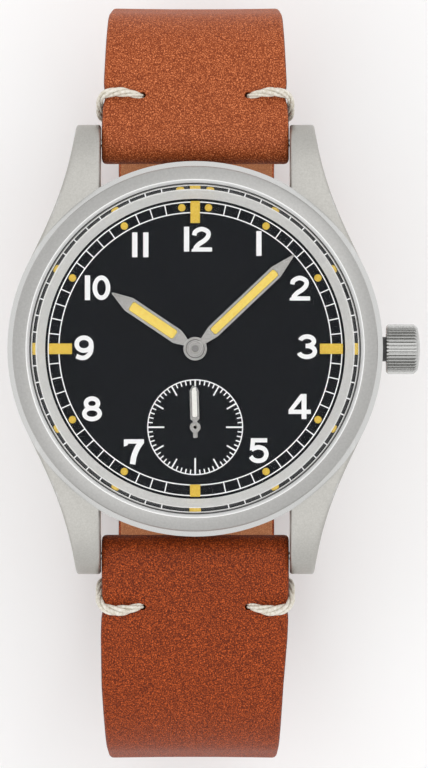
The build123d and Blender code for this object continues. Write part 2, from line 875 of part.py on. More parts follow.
hour_turn = meshed(minute_leaf_turn, minute_leaves, hour_teeth, radians(minute_angle) + pi)
setting_turn = meshed(minute_turn, minute_teeth, setting_teeth, heading(minute_at, setting_at))
hand_t = 0.15


def cannon_pinion():
    """The pipe that grips the centre arbor and carries the minute hand."""
    body = gear(cannon_leaves, cannon_module, works_wheel_z[0], cannon_leaf_high, centre_at, cannon_turn)
    body += disc(cannon_r, cannon_leaf_high, minute_hand_low + hand_t + fold_gap, centre_at)
    return body - disc(cannon_bore_r, 0, centre_top + overrun, centre_at)


def minute_wheel():
    """Wheel and pinion in one, turning on a post of the mainplate."""
    body = gear(minute_teeth, cannon_module, *works_wheel_z, minute_at, minute_turn)
    body += gear(
        minute_leaves, hour_module, works_wheel_z[1], minute_pinion_high, minute_at, minute_leaf_turn
    )
    return body - disc(minute_post_r + run_gap, 0, dial_low, minute_at)


def hour_wheel():
    """Wheel with the pipe that carries the hour hand."""
    body = gear(hour_teeth, hour_module, *hour_wheel_z, centre_at, hour_turn)
    body += disc(hour_pipe_r, hour_wheel_z[1], hour_hand_low + hand_t + run_gap, centre_at)
    return body - disc(hour_pipe_in_r, 0, centre_top, centre_at)


keep("cannon_pinion", cannon_pinion())
keep("minute_wheel", minute_wheel())
keep("hour_wheel", hour_wheel())
keep("setting_wheel", gear(setting_teeth, cannon_module, *works_wheel_z, setting_at, setting_turn)
     - disc(setting_post_r + run_gap, 0, dial_low, setting_at))

# Keyless work: setting lever in the stem's groove, and the yoke in the clutch's groove
lever_z = (5.25, 5.5)
lever_pivot_drop = 3.2
lever_x = sum(stem_groove) / 2
lever_at = (lever_x, -lever_pivot_drop)
lever_pin_r = 0.16
lever_w = 0.5
lever_post_r = 0.34
yoke_pin_x = sum(clutch_groove_x) / 2
yoke_foot = (6.2, -3.6)
yoke_w = 0.45
yoke_tip_w = 0.3
yoke_pin_r = 0.17

setting_lever = link(lever_at, (lever_x, 0), lever_w, lever_pin_r * 2, *lever_z)
setting_lever += disc(lever_pin_r, stem_z + stem_groove_r + run_gap, lever_z[0], (lever_x, 0))
setting_lever += disc(lever_post_r, plate_low + fold_gap, lever_z[0], lever_at)
keep("setting_lever", setting_lever)
yoke = link(yoke_foot, (yoke_pin_x, 0), yoke_w, yoke_tip_w, *lever_z)
yoke += disc(yoke_pin_r, stem_z + clutch_groove_r + run_gap, lever_z[0], (yoke_pin_x, 0))
keep("yoke", yoke)

# Mainplate, bridges, their screws and the jewels
dial_foot_angles = (125.0, -35.0)
dial_foot_ring = 11.5
dial_foot_r = 0.4
dial_foot_len = 1.4
feet_ring = 11.4
barrel_feet_angles = (112.0, 24.0)
barrel_inner_foot = (-5.5, 4.3)
train_feet_angles = (-22.0, -60.0, -115.0)
cock_foot_ring = 11.3
cock_foot_angle = 155.0
pallet_foot = (-6.9, -6.2)
foot_r = 0.95
cock_foot_r = 1.15
pallet_foot_r = 0.7
bridge_r = 12.5
barrel_bridge_edge = -1.6
barrel_bridge_left = -6.8
train_bridge_edge = -2.0
balance_room = balance_r + 0.5
screw_head_r = 0.62
screw_head_t = 0.32
screw_r = 0.32
screw_reach = 0.9
slot_w = 0.16
slot_deep = 0.14
cock_w = 1.3
pinion_room = winding_pinion_r + 0.3
stem_channel_r = 0.72
crown_wheel_recess = 2.75
works_room = 0.25
barrel_room = 5.95

barrel_feet = (*(polar(centre_at, feet_ring, a) for a in barrel_feet_angles), barrel_inner_foot)
train_feet = tuple(polar(centre_at, feet_ring, a) for a in train_feet_angles)
cock_foot = polar(centre_at, cock_foot_ring, cock_foot_angle)


def screw_hole(at, low):
    """Room for one screw, counterbored from the bridge side."""
    head = disc(screw_head_r + fit_gap, 0, low + screw_head_t, at)
    return head + disc(screw_r + fit_gap, 0, plate_low + screw_reach + run_gap, at)


def screw(at, low):
    """A slotted screw, driven from the bridge side into the mainplate."""
    body = disc(screw_head_r, low + fit_gap, low + screw_head_t, at)
    body += disc(screw_r, low + screw_head_t, plate_low + screw_reach, at)
    x, y = at
    return body - block(
        (x - screw_head_r, y - slot_w / 2, 0), (x + screw_head_r, y + slot_w / 2, low + fit_gap + slot_deep)
    )


def jewel_seat(at, low):
    """The hole that a jewel is pressed into."""
    return disc(jewel_r, low - fit_gap, low + jewel_t, at)


def jewel(at, low):
    """A ruby bearing ring."""
    return ring(jewel_r, pivot_r + fit_gap, low, low + jewel_t, at)


def mainplate():
    """The plate that carries the whole movement, sunk for barrel, keyless and motion work."""
    body = disc(movement_r, plate_low, plate_high)
    body -= disc(barrel_room, 0, drum_high + fold_gap, barrel_at)
    body -= disc(arbor_pivot_r + run_gap, 0, plate_web_high, barrel_at)
    body -= disc(centre_post_r, 0, plate_high + overrun)
    for at, r in (
        (minute_at, minute_reach - cannon_leaves * cannon_module / 2 + works_room),
        (centre_at, cannon_leaves * cannon_module / 2 + works_room),
        (setting_at, setting_teeth * cannon_module / 2 + works_room),
    ):
        body -= disc(r, works_floor, plate_high + overrun, at)
    body += disc(minute_post_r, works_floor, minute_post_high, minute_at)
    body += disc(setting_post_r, works_floor, works_wheel_z[1] + fold_gap, setting_at)
    body -= block(
        (winding_pinion_x[0] - fold_gap, -pinion_room, 0),
        (winding_pinion_x[1] + fold_gap, pinion_room, plate_high + overrun),
    )
    clutch_room = clutch_r + fold_gap
    body -= block(
        (stem_inner - works_room, -clutch_room, 0), (winding_pinion_x[0], clutch_room, plate_high + overrun)
    )
    body -= rod(stem_channel_r, winding_pinion_x[0], movement_r + overrun, stem_z)
    body -= block(
        (stem_groove[0] - run_gap, -stem_groove_r, plate_low),
        (stem_groove[1] + crown_pull + fold_gap, stem_groove_r, plate_high + overrun),
    )
    body -= disc(lever_post_r + fit_gap, 0, plate_high + overrun, lever_at)
    for angle in dial_foot_angles:
        foot = polar(centre_at, dial_foot_ring, angle)
        body -= disc(dial_foot_r + fit_gap, 0, plate_high + overrun, foot)
    for at in (*barrel_feet, *train_feet, cock_foot, pallet_foot):
        body -= disc(screw_r + fit_gap, 0, plate_low + screw_reach + run_gap, at)
    for at in (third_at, escape_at, pallet_at, balance_at):
        body -= disc(jewel_r, 0, plate_low + jewel_t, at)
    return body - disc(jewel_r, 0, plate_high + overrun, fourth_at)


def bridge_plate(keep_low, keep_high, feet):
    """A flat bridge cut from a round plate, standing on its feet and clear of the balance."""
    body = disc(bridge_r, bridge_low, bridge_high)
    body &= block((*keep_low, 0), (*keep_high, plate_low))
    for at in feet:
        body += disc(foot_r, bridge_high, plate_low, at)
    body -= disc(balance_room, 0, plate_low, balance_at)
    for at in feet:
        body -= screw_hole(at, bridge_low)
    return body


barrel_bridge = bridge_plate(
    (barrel_bridge_left, barrel_bridge_edge), (bridge_r, bridge_r), barrel_feet
)
barrel_bridge -= disc(arbor_r + run_gap, 0, plate_low, barrel_at)
barrel_bridge -= disc(centre_arbor_r + run_gap, 0, plate_low, centre_at)
barrel_bridge -= ring(crown_wheel_recess, crown_wheel_hub_r, 0, contrate_high + run_gap, crown_wheel_at)
barrel_bridge += disc(crown_wheel_hub_r, ratchet_low + fit_gap, bridge_low, crown_wheel_at)
barrel_bridge -= disc(screw_r + fit_gap, 0, bridge_high + overrun, crown_wheel_at)
barrel_bridge -= block(
    (winding_pinion_x[0] - fold_gap, -pinion_room, 0),
    (winding_pinion_x[1] + fold_gap, pinion_room, plate_low),
)
barrel_bridge -= block(
    (stem_inner - works_room, -clutch_r, bridge_high - fold_gap * 2),
    (winding_pinion_x[0], clutch_r, plate_low),
)
barrel_bridge += disc(click_pin_r, ratchet_low, bridge_low, click_at)
keep("barrel_bridge", barrel_bridge)

train_bridge = bridge_plate((-bridge_r, -bridge_r), (bridge_r, train_bridge_edge), train_feet)
train_bridge -= disc(crown_wheel_recess, 0, contrate_high + run_gap, crown_wheel_at)
for arbor_at in (third_at, fourth_at, escape_at):
    train_bridge -= disc(jewel_r, bridge_high - jewel_t, bridge_high + overrun, arbor_at)
keep("train_bridge", train_bridge)

cock = link(cock_foot, balance_at, cock_foot_r, cock_w, *cock_z)
cock += disc(cock_foot_r, cock_z[1], plate_low, cock_foot)
cock -= screw_hole(cock_foot, cock_z[0])
cock -= disc(jewel_r, cock_z[1] - jewel_t, plate_low, balance_at)
keep("balance_cock", cock)

pallet_bridge = link(pallet_foot, pallet_at, pallet_foot_r, jewel_r + fold_gap, *pallet_bridge_z)
pallet_bridge += disc(pallet_foot_r, pallet_bridge_z[1], plate_low, pallet_foot)
pallet_bridge -= disc(screw_r + fit_gap, 0, plate_low, pallet_foot)
pallet_head_z = pallet_bridge_z[0] + screw_head_t / 2
pallet_head_r = screw_head_r - fold_gap
pallet_bridge -= disc(pallet_head_r + fit_gap, 0, pallet_head_z, pallet_foot)
pallet_bridge -= disc(jewel_r, 0, plate_low, pallet_at)
keep("pallet_bridge", pallet_bridge)
keep("mainplate", mainplate())

screws = [screw(at, bridge_low) for at in (*barrel_feet, *train_feet)]
screws.append(screw(cock_foot, cock_z[0]))
pallet_screw = disc(pallet_head_r, pallet_bridge_z[0], pallet_head_z, pallet_foot)
pallet_screw += disc(screw_r, pallet_head_z, plate_low + screw_reach, pallet_foot)
crown_wheel_screw = disc(
    crown_wheel_hub_r + fold_gap * 2, ratchet_low - ratchet_head_t, ratchet_low, crown_wheel_at
)
crown_wheel_screw += disc(screw_r, ratchet_low, bridge_high - fold_gap * 3, crown_wheel_at)
keep("movement_screws", Compound(children=[
    solid for item in (*screws, pallet_screw, crown_wheel_screw) for solid in item.solids()
]))

jewels = [jewel(at, bridge_high - jewel_t) for at in (third_at, fourth_at, escape_at)]
jewels += [jewel(at, plate_low) for at in (third_at, escape_at, pallet_at, balance_at)]
jewels.append(jewel(balance_at, cock_z[1] - jewel_t))
jewels.append(jewel(pallet_at, pallet_bridge_z[0]))
jewels.append(ring(jewel_r, seconds_pivot_r + fit_gap, plate_high - jewel_t, plate_high, fourth_at))
keep("jewels", Compound(children=[solid for item in jewels for solid in item.solids()]))

# Movement ring: a metal spacer between movement and case
movement_ring_z = (3.05, 5.5)
keep("movement_ring", ring(movement_bore - run_gap, movement_r + run_gap, *movement_ring_z)
     - rod(stem_hub_r + fold_gap * 2, movement_r - overrun, movement_bore + overrun, stem_z))

# Dial: a thin lacquered brass plate with a sunk seconds dial and two feet
subdial_r = 5.1
subdial_deep = 0.12
dial_hole_room = 0.15
dial_hole_r = hour_pipe_r + dial_hole_room
seconds_hole_r = 0.35


def dial():
    """The plate, its holes, its sunk seconds dial and the feet that locate it."""
    body = disc(dial_r, dial_low, dial_high)
    body -= disc(dial_hole_r, 0, dial_high + overrun)
    body -= disc(subdial_r, dial_high - subdial_deep, dial_high + overrun, fourth_at)
    body -= disc(seconds_hole_r, 0, dial_high + overrun, fourth_at)
    for angle in dial_foot_angles:
        foot = polar(centre_at, dial_foot_ring, angle)
        body += disc(dial_foot_r, dial_low - dial_foot_len, dial_low, foot)
    return body


keep("dial", dial())

# Hands, shown at about eight minutes past ten
minute_time = 7.75
hour_time = 10 + minute_time / 60
minute_hand_len = 13.2
minute_hand_w = 1.28
minute_hub_r = 0.8
minute_shoulder = 10.8
minute_neck_w = 0.55
minute_root = 2.2
hour_hand_len = 9.67
hour_hand_w = 1.46
hour_hub_r = 1.15
hour_shoulder = 7.7
hour_neck_w = 0.62
hour_root = 2.2
seconds_len = 4.0
seconds_w = 0.86
seconds_hub_r = 0.5
seconds_shoulder = 3.6
seconds_neck_w = 0.42
seconds_root = 0.75
seconds_tail = 1.1
seconds_turn = 1.7
point_w = 0.16


def hand(length, width, hub, shoulder, root, neck, low, thick, tail=0):
    """A baton hand along +Y: hub, neck, straight blade and a pointed end."""
    right = [
        (neck / 2, 0),
        (neck / 2, root - (width - neck) / 2),
        (width / 2, root),
        (width / 2, shoulder),
        (point_w / 2, length),
    ]
    left = [(-x, y) for x, y in reversed(right)]
    flat = make_face(Polyline(*right, *left, close=True)) + Circle(hub)
    if tail:
        flat += Pos(0, -tail / 2) * Rectangle(neck, tail)
    return Pos(0, 0, low) * extrude(flat, thick)


minute_hand = hand(
    minute_hand_len, minute_hand_w, minute_hub_r, minute_shoulder,
    minute_root, minute_neck_w, minute_hand_low, hand_t,
)
minute_hand -= disc(cannon_r, 0, crystal_low)
keep("minute_hand", Rot(0, 0, -minute_time * 6) * minute_hand)
hour_hand = hand(
    hour_hand_len, hour_hand_w, hour_hub_r, hour_shoulder,
    hour_root, hour_neck_w, hour_hand_low, hand_t,
)
hour_hand -= disc(hour_pipe_r, 0, crystal_low)
keep("hour_hand", Rot(0, 0, -hour_time * 30) * hour_hand)
seconds_hand = hand(
    seconds_len, seconds_w, seconds_hub_r, seconds_shoulder,
    seconds_root, seconds_neck_w, seconds_hand_low, seconds_hand_t, seconds_tail,
)
seconds_hand -= disc(seconds_pivot_r, 0, crystal_low)
keep("seconds_hand", Pos(*fourth_at, 0) * Rot(0, 0, seconds_turn) * seconds_hand)

# Spring bars: a tube with a coil spring inside and a sprung pin at each end
bar_tube_r = 0.75
bar_tube_in_r = 0.52
bar_tube_room = 0.95
bar_tube_half = lug_gap - bar_tube_room
bar_pin_r = 0.4
bar_pin_head_r = 0.48
bar_pin_out = 1.2
bar_pin_in = 2.6
bar_pin_travel = 1.25
bar_flange_t = 0.3
bar_spring_r = 0.4
bar_spring_wire = 0.07
bar_spring_turns = 12
bar_spring_room = 3.9
bar_spring_half = bar_tube_half - bar_spring_room


def bar_tube(y, z):
    """The tube, closed down at both ends around its pins."""
    body = rod(bar_tube_r, -bar_tube_half, bar_tube_half, z, y)
    body -= rod(bar_tube_in_r, -bar_tube_half + bar_flange_t, bar_tube_half - bar_flange_t, z, y)
    return body - rod(bar_pin_r + fit_gap, -bar_tube_half - overrun, bar_tube_half + overrun, z, y)


def bar_pin(side, y, z):
    """A stepped pin: its head stays inside the tube, its tip enters the lug."""
    inner = bar_tube_half - bar_flange_t - run_gap
    tip = lug_gap + bar_pin_out
    head = sorted((side * (inner - bar_pin_in / 2), side * inner))
    shank = sorted((side * inner, side * tip))
    return rod(bar_pin_head_r, *head, z, y) + rod(bar_pin_r, *shank, z, y)


def bar_spring(y, z):
    """The spring that pushes both pins apart."""
    pitch = 2 * bar_spring_half / bar_spring_turns
    path = Helix(pitch, 2 * bar_spring_half, bar_spring_r)
    profile = Plane(origin=path @ 0, z_dir=path % 0) * Circle(bar_spring_wire)
    coil = sweep(profile, path)
    return Pos(-bar_spring_half, y, z) * Rot(0, 90, 0) * coil


bar_places = {"12": bar_y, "6": -bar_y}
bar_tubes, bar_springs = [], []
for hour, y in bar_places.items():
    bar_tubes += bar_tube(y, bar_z).solids()
    bar_springs += bar_spring(y, bar_z).solids()
    for side, word in ((-1, "left"), (1, "right")):
        keep(f"bar_pin_{hour}_{word}", bar_pin(side, y, bar_z))
keep("spring_bar_springs", Compound(children=bar_springs))

# Strap: two leather straps folded round the spring bars, closed by a pin buckle under the wrist.
# Each follows a route of straight runs and arcs in the plane of Y and Z. A route starts at the
# spring bar and its points lie on the leather's inner face.
fold_r = 2.05
fold_hole_r = 0.95
fold_len = 6.6
flap_t = 0.55
flap_bend = 2.6
strap_edge_r = 0.45
strap_lean = 9.0
strap_floor = -36.0
short_reach = 10.7
short_bulge = 12.9
short_knee = 4.8
short_radii = (5.6, 25.0, 10.0)
long_reach = 16.55
long_bulge = 19.75
long_knee = 9.3
short_side_z = -18.0
long_side_z = -19.0
buckle_y = -5.0
climb_y = -17.5
tail_end = 19.5
tail_gap = 0.1
long_radii = (9.0, 22.0, 12.0, 8.0, 8.0)
stitch_r = 0.5
stitch_gap = 0.05
stitch_bend = 0.6
stitch_u = 4.45
stitch_in = 3.75
stitch_x = strap_w / 2 - stitch_in
stitch_back_u = 2.8
stitch_back_in = 2.15
stitch_back_x = strap_w / 2 - stitch_back_in
stitch_back_w = -2.05
stitch_drift = 0.4
hole_r = 0.85
hole_pitch = 6.5
hole_steps = (-2, -1, 1, 2, 3)
tongue_slot = (-12.4, -6.9)
fold_slot_w = 2.8
fold_slot_len = 1.7


def width_at(z):
    """The strap narrows steadily from the lugs to the buckle."""
    share = min(1, max(0, (bar_z - z) / (bar_z - strap_floor)))
    return strap_w + (strap_end_w - strap_w) * share


def taper():
    """A wedge along Y that trims the straps to their width at each height."""
    top, low = bar_z + fold_r * 2, strap_floor - fold_r * 4
    half_top, half_low = strap_w / 2, strap_end_w / 2
    outline = Polyline(
        (-half_top, top),
        (-half_top, bar_z),
        (-half_low, strap_floor),
        (-half_low, low),
        (half_low, low),
        (half_low, strap_floor),
        (half_top, bar_z),
        (half_top, top),
        close=True,
    )
    depth = bar_y + long_bulge + fold_r * 4
    return extrude(Plane.XZ * make_face(outline), depth, both=True)


def folded_end():
    """The doubled end of a strap round its bar, in the plane of the strap's length and height."""
    ply_low = fold_r - strap_t
    top = Polyline((0, fold_r), (fold_len, fold_r), (fold_len, ply_low))
    under = Polyline(
        (fold_len, ply_low),
        (fold_len - flap_t / 2, ply_low - flap_t / 2),
        (flap_bend, flap_t - fold_r),
        (0, -fold_r),
    )
    turn = ThreePointArc((0, -fold_r), (-fold_r, 0), (0, fold_r))
    outline = make_face(Curve() + [top, under, turn])
    return extrude(outline - Circle(fold_hole_r), strap_w / 2, both=True)


def leather(route, radii, side):
    """A strap of even thickness, swept along its route; side says where its outer face lies."""
    path = Plane.YZ * FilletPolyline(*route, radius=radii)
    along = path % 0
    normal = Vector(1, 0, 0).cross(along) * side
    section = Plane(origin=(path @ 0) + normal * (strap_t / 2), x_dir=(1, 0, 0), z_dir=along)
    return sweep(section * RectangleRounded(strap_w, strap_t, strap_edge_r), path)


def lug_plane(outward):
    """The frame of a lug end: X along the leather, Y out of its upper face, at the bar."""
    a = radians(strap_lean)
    along = Vector(0, outward * cos(a), -sin(a))
    upward = Vector(0, outward * sin(a), cos(a))
    return Plane(origin=(0, outward * bar_y, bar_z), x_dir=along, z_dir=along.cross(upward))


def stitch(plane, side):
    """One waxed thread: out of its hole, over the edge and back under nearer the lug."""
    top = fold_r + stitch_r + stitch_gap
    edge = side * (strap_w / 2 + stitch_r + stitch_gap)
    points = [
        (stitch_u, fold_r - strap_t / 2, side * stitch_x),
        (stitch_u, top, side * stitch_x),
        (stitch_u - stitch_drift, top, edge),
        (stitch_back_u, stitch_back_w, edge),
        (stitch_back_u, stitch_back_w, side * stitch_back_x),
    ]
    path = FilletPolyline(*[plane.from_local_coords(p) for p in points], radius=stitch_bend)
    return sweep(Plane(origin=path @ 0, z_dir=path % 0) * Circle(stitch_r), path)


def stitch_hole(plane, side):
    """The hole that a thread comes out of."""
    hole = Cylinder(stitch_r + stitch_gap, 4 * fold_r)
    return plane * (Pos(stitch_u, 0, side * stitch_x) * Rot(90, 0, 0) * hole)


def strap_start(outward):
    """The point of a strap's inner face where its folded end stops."""
    point = lug_plane(outward).from_local_coords((fold_len - tail_gap, fold_r - strap_t, 0))
    return (point.Y, point.Z)


def lean_point(start, y):
    """The point where the leaning run from the lug reaches a distance along Y."""
    return (y, start[1] - abs(y - start[0]) * sin(radians(strap_lean)) / cos(radians(strap_lean)))


buckle_z = strap_floor + fold_r - strap_t
tail_z = strap_floor - strap_t - tail_gap
short_start, long_start = strap_start(1), strap_start(-1)
short_route = [
    short_start,
    lean_point(short_start, bar_y + short_reach),
    (bar_y + short_bulge, short_side_z),
    (bar_y + short_knee, strap_floor),
    (buckle_y + fold_len - tail_gap, strap_floor),
]
long_route = [
    long_start,
    lean_point(long_start, -bar_y - long_reach),
    (-bar_y - long_bulge, long_side_z),
    (-bar_y - long_knee, strap_floor),
    (climb_y, strap_floor),
    (buckle_y - fold_r, tail_z),
    (tail_end, tail_z),
]
buckle_plane = Plane(origin=(0, buckle_y, buckle_z), x_dir=(0, 1, 0), z_dir=(-1, 0, 0))
tail_low = tail_z - strap_t


def short_strap():
    """The 12 o'clock strap: folded round its spring bar and round the buckle's bar."""
    plane = lug_plane(1)
    body = leather(short_route, short_radii, 1)
    body += plane * folded_end()
    body += buckle_plane * folded_end()
    body &= taper()
    for side in (-1, 1):
        body -= stitch_hole(plane, side)
    return body - block(
        (-fold_slot_w / 2, buckle_y - fold_r - overrun, strap_floor - strap_t - overrun),
        (fold_slot_w / 2, buckle_y + fold_slot_len, buckle_z + fold_r + overrun),
    )


def long_strap():
    """The 6 o'clock strap: it climbs over the buckle's bar and ends in a rounded tail."""
    plane = lug_plane(-1)
    body = leather(long_route, long_radii, -1)
    body += plane * folded_end()
    body &= taper()
    for side in (-1, 1):
        body -= stitch_hole(plane, side)
    round_r = strap_end_w / 2
    corner = block(
        (-strap_w, tail_end - round_r, tail_low - overrun), (strap_w, tail_end + overrun, tail_z + tail_gap)
    )
    body -= corner - disc(round_r, tail_low - overrun, tail_z + tail_gap, (0, tail_end - round_r))
    slot_at = sum(tongue_slot) / 2
    for step in hole_steps:
        body -= disc(hole_r, tail_low - overrun, strap_floor + overrun, (0, slot_at + step * hole_pitch))
    body -= block(
        (-hole_r, tongue_slot[0], tail_low - overrun), (hole_r, tongue_slot[1], strap_floor + overrun)
    )
    return body


keep("strap_12_side", short_strap())
keep("strap_6_side", long_strap())
keep("strap_stitches", Compound(children=[
    solid
    for outward in (-1, 1)
    for side in (-1, 1)
    for solid in stitch(lug_plane(outward), side).solids()
]))

# Keepers: a fixed and a sliding leather loop round the doubled strap
keeper_t = 1.2
keeper_gap = 0.12
keeper_w = 4.6
keeper_edge_r = 0.7
fixed_keeper_y = 2.1
free_keeper_y = 9.6


def keeper(y):
    """A band of leather round both layers of the strap."""
    half = width_at(strap_floor) / 2 + keeper_gap
    inner = block(
        (-half, y - overrun, tail_low - keeper_gap),
        (half, y + keeper_w + overrun, strap_floor + keeper_gap),
    )
    outer = block(
        (-half - keeper_t, y, tail_low - keeper_gap - keeper_t),
        (half + keeper_t, y + keeper_w, strap_floor + keeper_gap + keeper_t),
    )
    outer = fillet(outer.edges().filter_by(Axis.Y), keeper_edge_r)
    return outer - inner


keep("fixed_keeper", keeper(fixed_keeper_y))
keep("free_keeper", keeper(free_keeper_y))

# Buckle: a steel frame and tongue on a plain bar
frame_room = 0.35
frame_half = strap_end_w / 2 + frame_room
frame_arm_t = 1.55
frame_eye_r = 1.3
front_bar_r = 1.15
front_bar_y = -13.6
buckle_bar_r = 0.72
buckle_bar_end_r = 0.45
tongue_w = 1.2
tongue_eye_r = 1.25
tongue_half_t = 0.38
tongue_root = (-5.6, -36.75)
tongue_tip = (-14.8, -41.0)
notch_z = -39.55
notch_w_half = 0.75
rest_z = tail_low - keeper_gap - keeper_t
front_bar_z = rest_z + front_bar_r


def side_link(start, end, r_start, r_end, half):
    """A lever seen along X, between two (y, z) points, centred on the strap."""
    return Plane.YZ * Pos(0, 0, -half) * link(start, end, r_start, r_end, 0, 2 * half)


def buckle_frame():
    """Two arms and a front bar with a rest for the tongue."""
    outer = frame_half + frame_arm_t
    bar_centre, front = (buckle_y, buckle_z), (front_bar_y, front_bar_z)
    body = side_link(bar_centre, front, frame_eye_r, front_bar_r, outer)
    body -= side_link(bar_centre, front, frame_eye_r * 2, front_bar_r * 2, frame_half)
    body += rod(front_bar_r, -outer, outer, front_bar_z, front_bar_y)
    body -= rod(buckle_bar_end_r + fit_gap, -outer - overrun, outer + overrun, buckle_z, buckle_y)
    return body - block(
        (-notch_w_half, front_bar_y - front_bar_r * 2, rest_z - overrun),
        (notch_w_half, front_bar_y + front_bar_r * 2, notch_z),
    )


def buckle_tongue():
    """A flat pin with an eye round the bar, through the strap and onto the front bar."""
    half = tongue_w / 2
    body = side_link(tongue_root, tongue_tip, tongue_half_t, tongue_half_t, half)
    body += rod(tongue_eye_r, -half, half, buckle_z, buckle_y)
    return body - rod(buckle_bar_r + run_gap, -half - overrun, half + overrun, buckle_z, buckle_y)


def buckle_bar():
    """The plain bar riveted into the frame's arms."""
    outer = frame_half + frame_arm_t
    return rod(buckle_bar_r, -frame_half + run_gap, frame_half - run_gap, buckle_z, buckle_y) + rod(
        buckle_bar_end_r, -outer, outer, buckle_z, buckle_y
    )


keep("buckle_frame", buckle_frame())
keep("buckle_tongue", buckle_tongue())
keep("strap_bars", Compound(children=[*bar_tubes, *buckle_bar().solids()]))

os.makedirs("parts", exist_ok=True)
for name, shape in pieces.items():
    export_step(shape, f"parts/{name}.step")
print(len(pieces), "nodes")
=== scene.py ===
from math import atan2, cos, hypot, pi, radians, sin, tan

import bpy
from mathutils import Matrix, Vector


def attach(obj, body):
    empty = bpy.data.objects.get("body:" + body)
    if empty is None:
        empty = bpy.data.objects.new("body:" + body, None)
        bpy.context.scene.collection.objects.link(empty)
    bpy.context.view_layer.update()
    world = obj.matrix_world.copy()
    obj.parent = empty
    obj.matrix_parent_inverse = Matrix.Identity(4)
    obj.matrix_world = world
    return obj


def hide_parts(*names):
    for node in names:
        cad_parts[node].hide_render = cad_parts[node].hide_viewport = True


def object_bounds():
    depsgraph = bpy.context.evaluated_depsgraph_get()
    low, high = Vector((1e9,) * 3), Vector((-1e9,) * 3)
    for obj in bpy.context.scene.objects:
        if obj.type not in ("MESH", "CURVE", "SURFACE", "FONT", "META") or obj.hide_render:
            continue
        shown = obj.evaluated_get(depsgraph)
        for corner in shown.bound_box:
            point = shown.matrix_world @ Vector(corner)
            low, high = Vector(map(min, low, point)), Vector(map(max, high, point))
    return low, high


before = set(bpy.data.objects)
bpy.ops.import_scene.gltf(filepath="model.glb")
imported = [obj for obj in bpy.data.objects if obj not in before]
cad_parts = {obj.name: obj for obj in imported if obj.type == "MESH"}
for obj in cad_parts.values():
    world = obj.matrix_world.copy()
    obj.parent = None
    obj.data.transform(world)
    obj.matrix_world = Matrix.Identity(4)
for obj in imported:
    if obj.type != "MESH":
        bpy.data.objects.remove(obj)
cad_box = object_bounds()

# Mid-case
# The steel ring with its four lugs, milled from one blank of stainless steel.
# All of it is bead blasted, and the narrow band round the bezel is then polished.
MM = 0.001
bezel_r, case_edge_z = 17.72, 6.76
case_edge_softness = 0.05
level = 0.95  # a face lies level where its normal rises by more than this


def clear():
    """Leave edit mode and select nothing."""
    if bpy.context.object and bpy.context.object.mode != "OBJECT":
        bpy.ops.object.mode_set(mode="OBJECT")
    bpy.ops.object.select_all(action="DESELECT")


def take(piece):
    """Make one piece the selected and active one."""
    clear()
    piece.select_set(True)
    bpy.context.view_layer.objects.active = piece
    return piece


def apply_modifier(piece, kind, **settings):
    """Add a modifier with these settings and apply it."""
    take(piece)
    modifier = piece.modifiers.new(kind.title(), kind)
    for key, value in settings.items():
        setattr(modifier, key, value)
    bpy.ops.object.modifier_apply(modifier=modifier.name)


def soften(piece, edge, corner=35, segments=2):
    """Round off the edges that turn by more than a corner's angle."""
    apply_modifier(piece, "BEVEL", width=edge * MM, segments=segments, limit_method="ANGLE",
                   angle_limit=radians(corner))


def smooth(piece, angle=30):
    """Shade smooth, with edges sharper than the angle kept crisp."""
    take(piece)
    bpy.ops.object.shade_smooth_by_angle(angle=radians(angle))


def fit(piece, body, nodes, *materials):
    """Give a piece its materials, let it ride on its body and stand for its solids."""
    for material in materials:
        piece.data.materials.append(material)
    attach(piece, body)
    if nodes:
        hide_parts(*nodes)


def copied(cad, name, weld=0.002):
    """A copy of a solid with its loose triangles joined, ready for its edges to be worked."""
    piece = bpy.data.objects.new(name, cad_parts[cad].data.copy())
    bpy.context.scene.collection.objects.link(piece)
    piece.data.materials.clear()
    take(piece)
    bpy.ops.object.mode_set(mode="EDIT")
    bpy.ops.mesh.select_all(action="SELECT")
    bpy.ops.mesh.customdata_custom_splitnormals_clear()
    bpy.ops.mesh.remove_doubles(threshold=weld * MM)
    bpy.ops.object.mode_set(mode="OBJECT")
    smooth(piece)
    return piece


def blank_material(name, color, metallic=0.0, roughness=0.5):
    """A principled material with its plain values set."""
    material = bpy.data.materials.new(name)
    material.use_nodes = True
    shader = material.node_tree.nodes["Principled BSDF"]
    shader.inputs["Base Color"].default_value = (*color, 1)
    shader.inputs["Metallic"].default_value = metallic
    shader.inputs["Roughness"].default_value = roughness
    return material


def node(material, kind, **inputs):
    """Add a node and set its inputs by name."""
    made = material.node_tree.nodes.new(kind)
    for key, value in inputs.items():
        made.inputs[key.replace("_", " ")].default_value = value
    return made


def wire(material, source, target):
    """Join two sockets."""
    material.node_tree.links.new(source, target)


def grain(material, pattern, distance, strength):
    """Raise a pattern as bump on a material."""
    shader = material.node_tree.nodes["Principled BSDF"]
    bump = node(material, "ShaderNodeBump", Distance=distance * MM, Strength=strength)
    wire(material, pattern, bump.inputs["Height"])
    wire(material, bump.outputs["Normal"], shader.inputs["Normal"])


def spread(material, pattern, socket, low, high):
    """Let a pattern drive a value of the shader between two ends."""
    shader = material.node_tree.nodes["Principled BSDF"]
    span = node(material, "ShaderNodeMapRange", To_Min=low, To_Max=high)
    wire(material, pattern, span.inputs["Value"])
    wire(material, span.outputs["Result"], shader.inputs[socket])


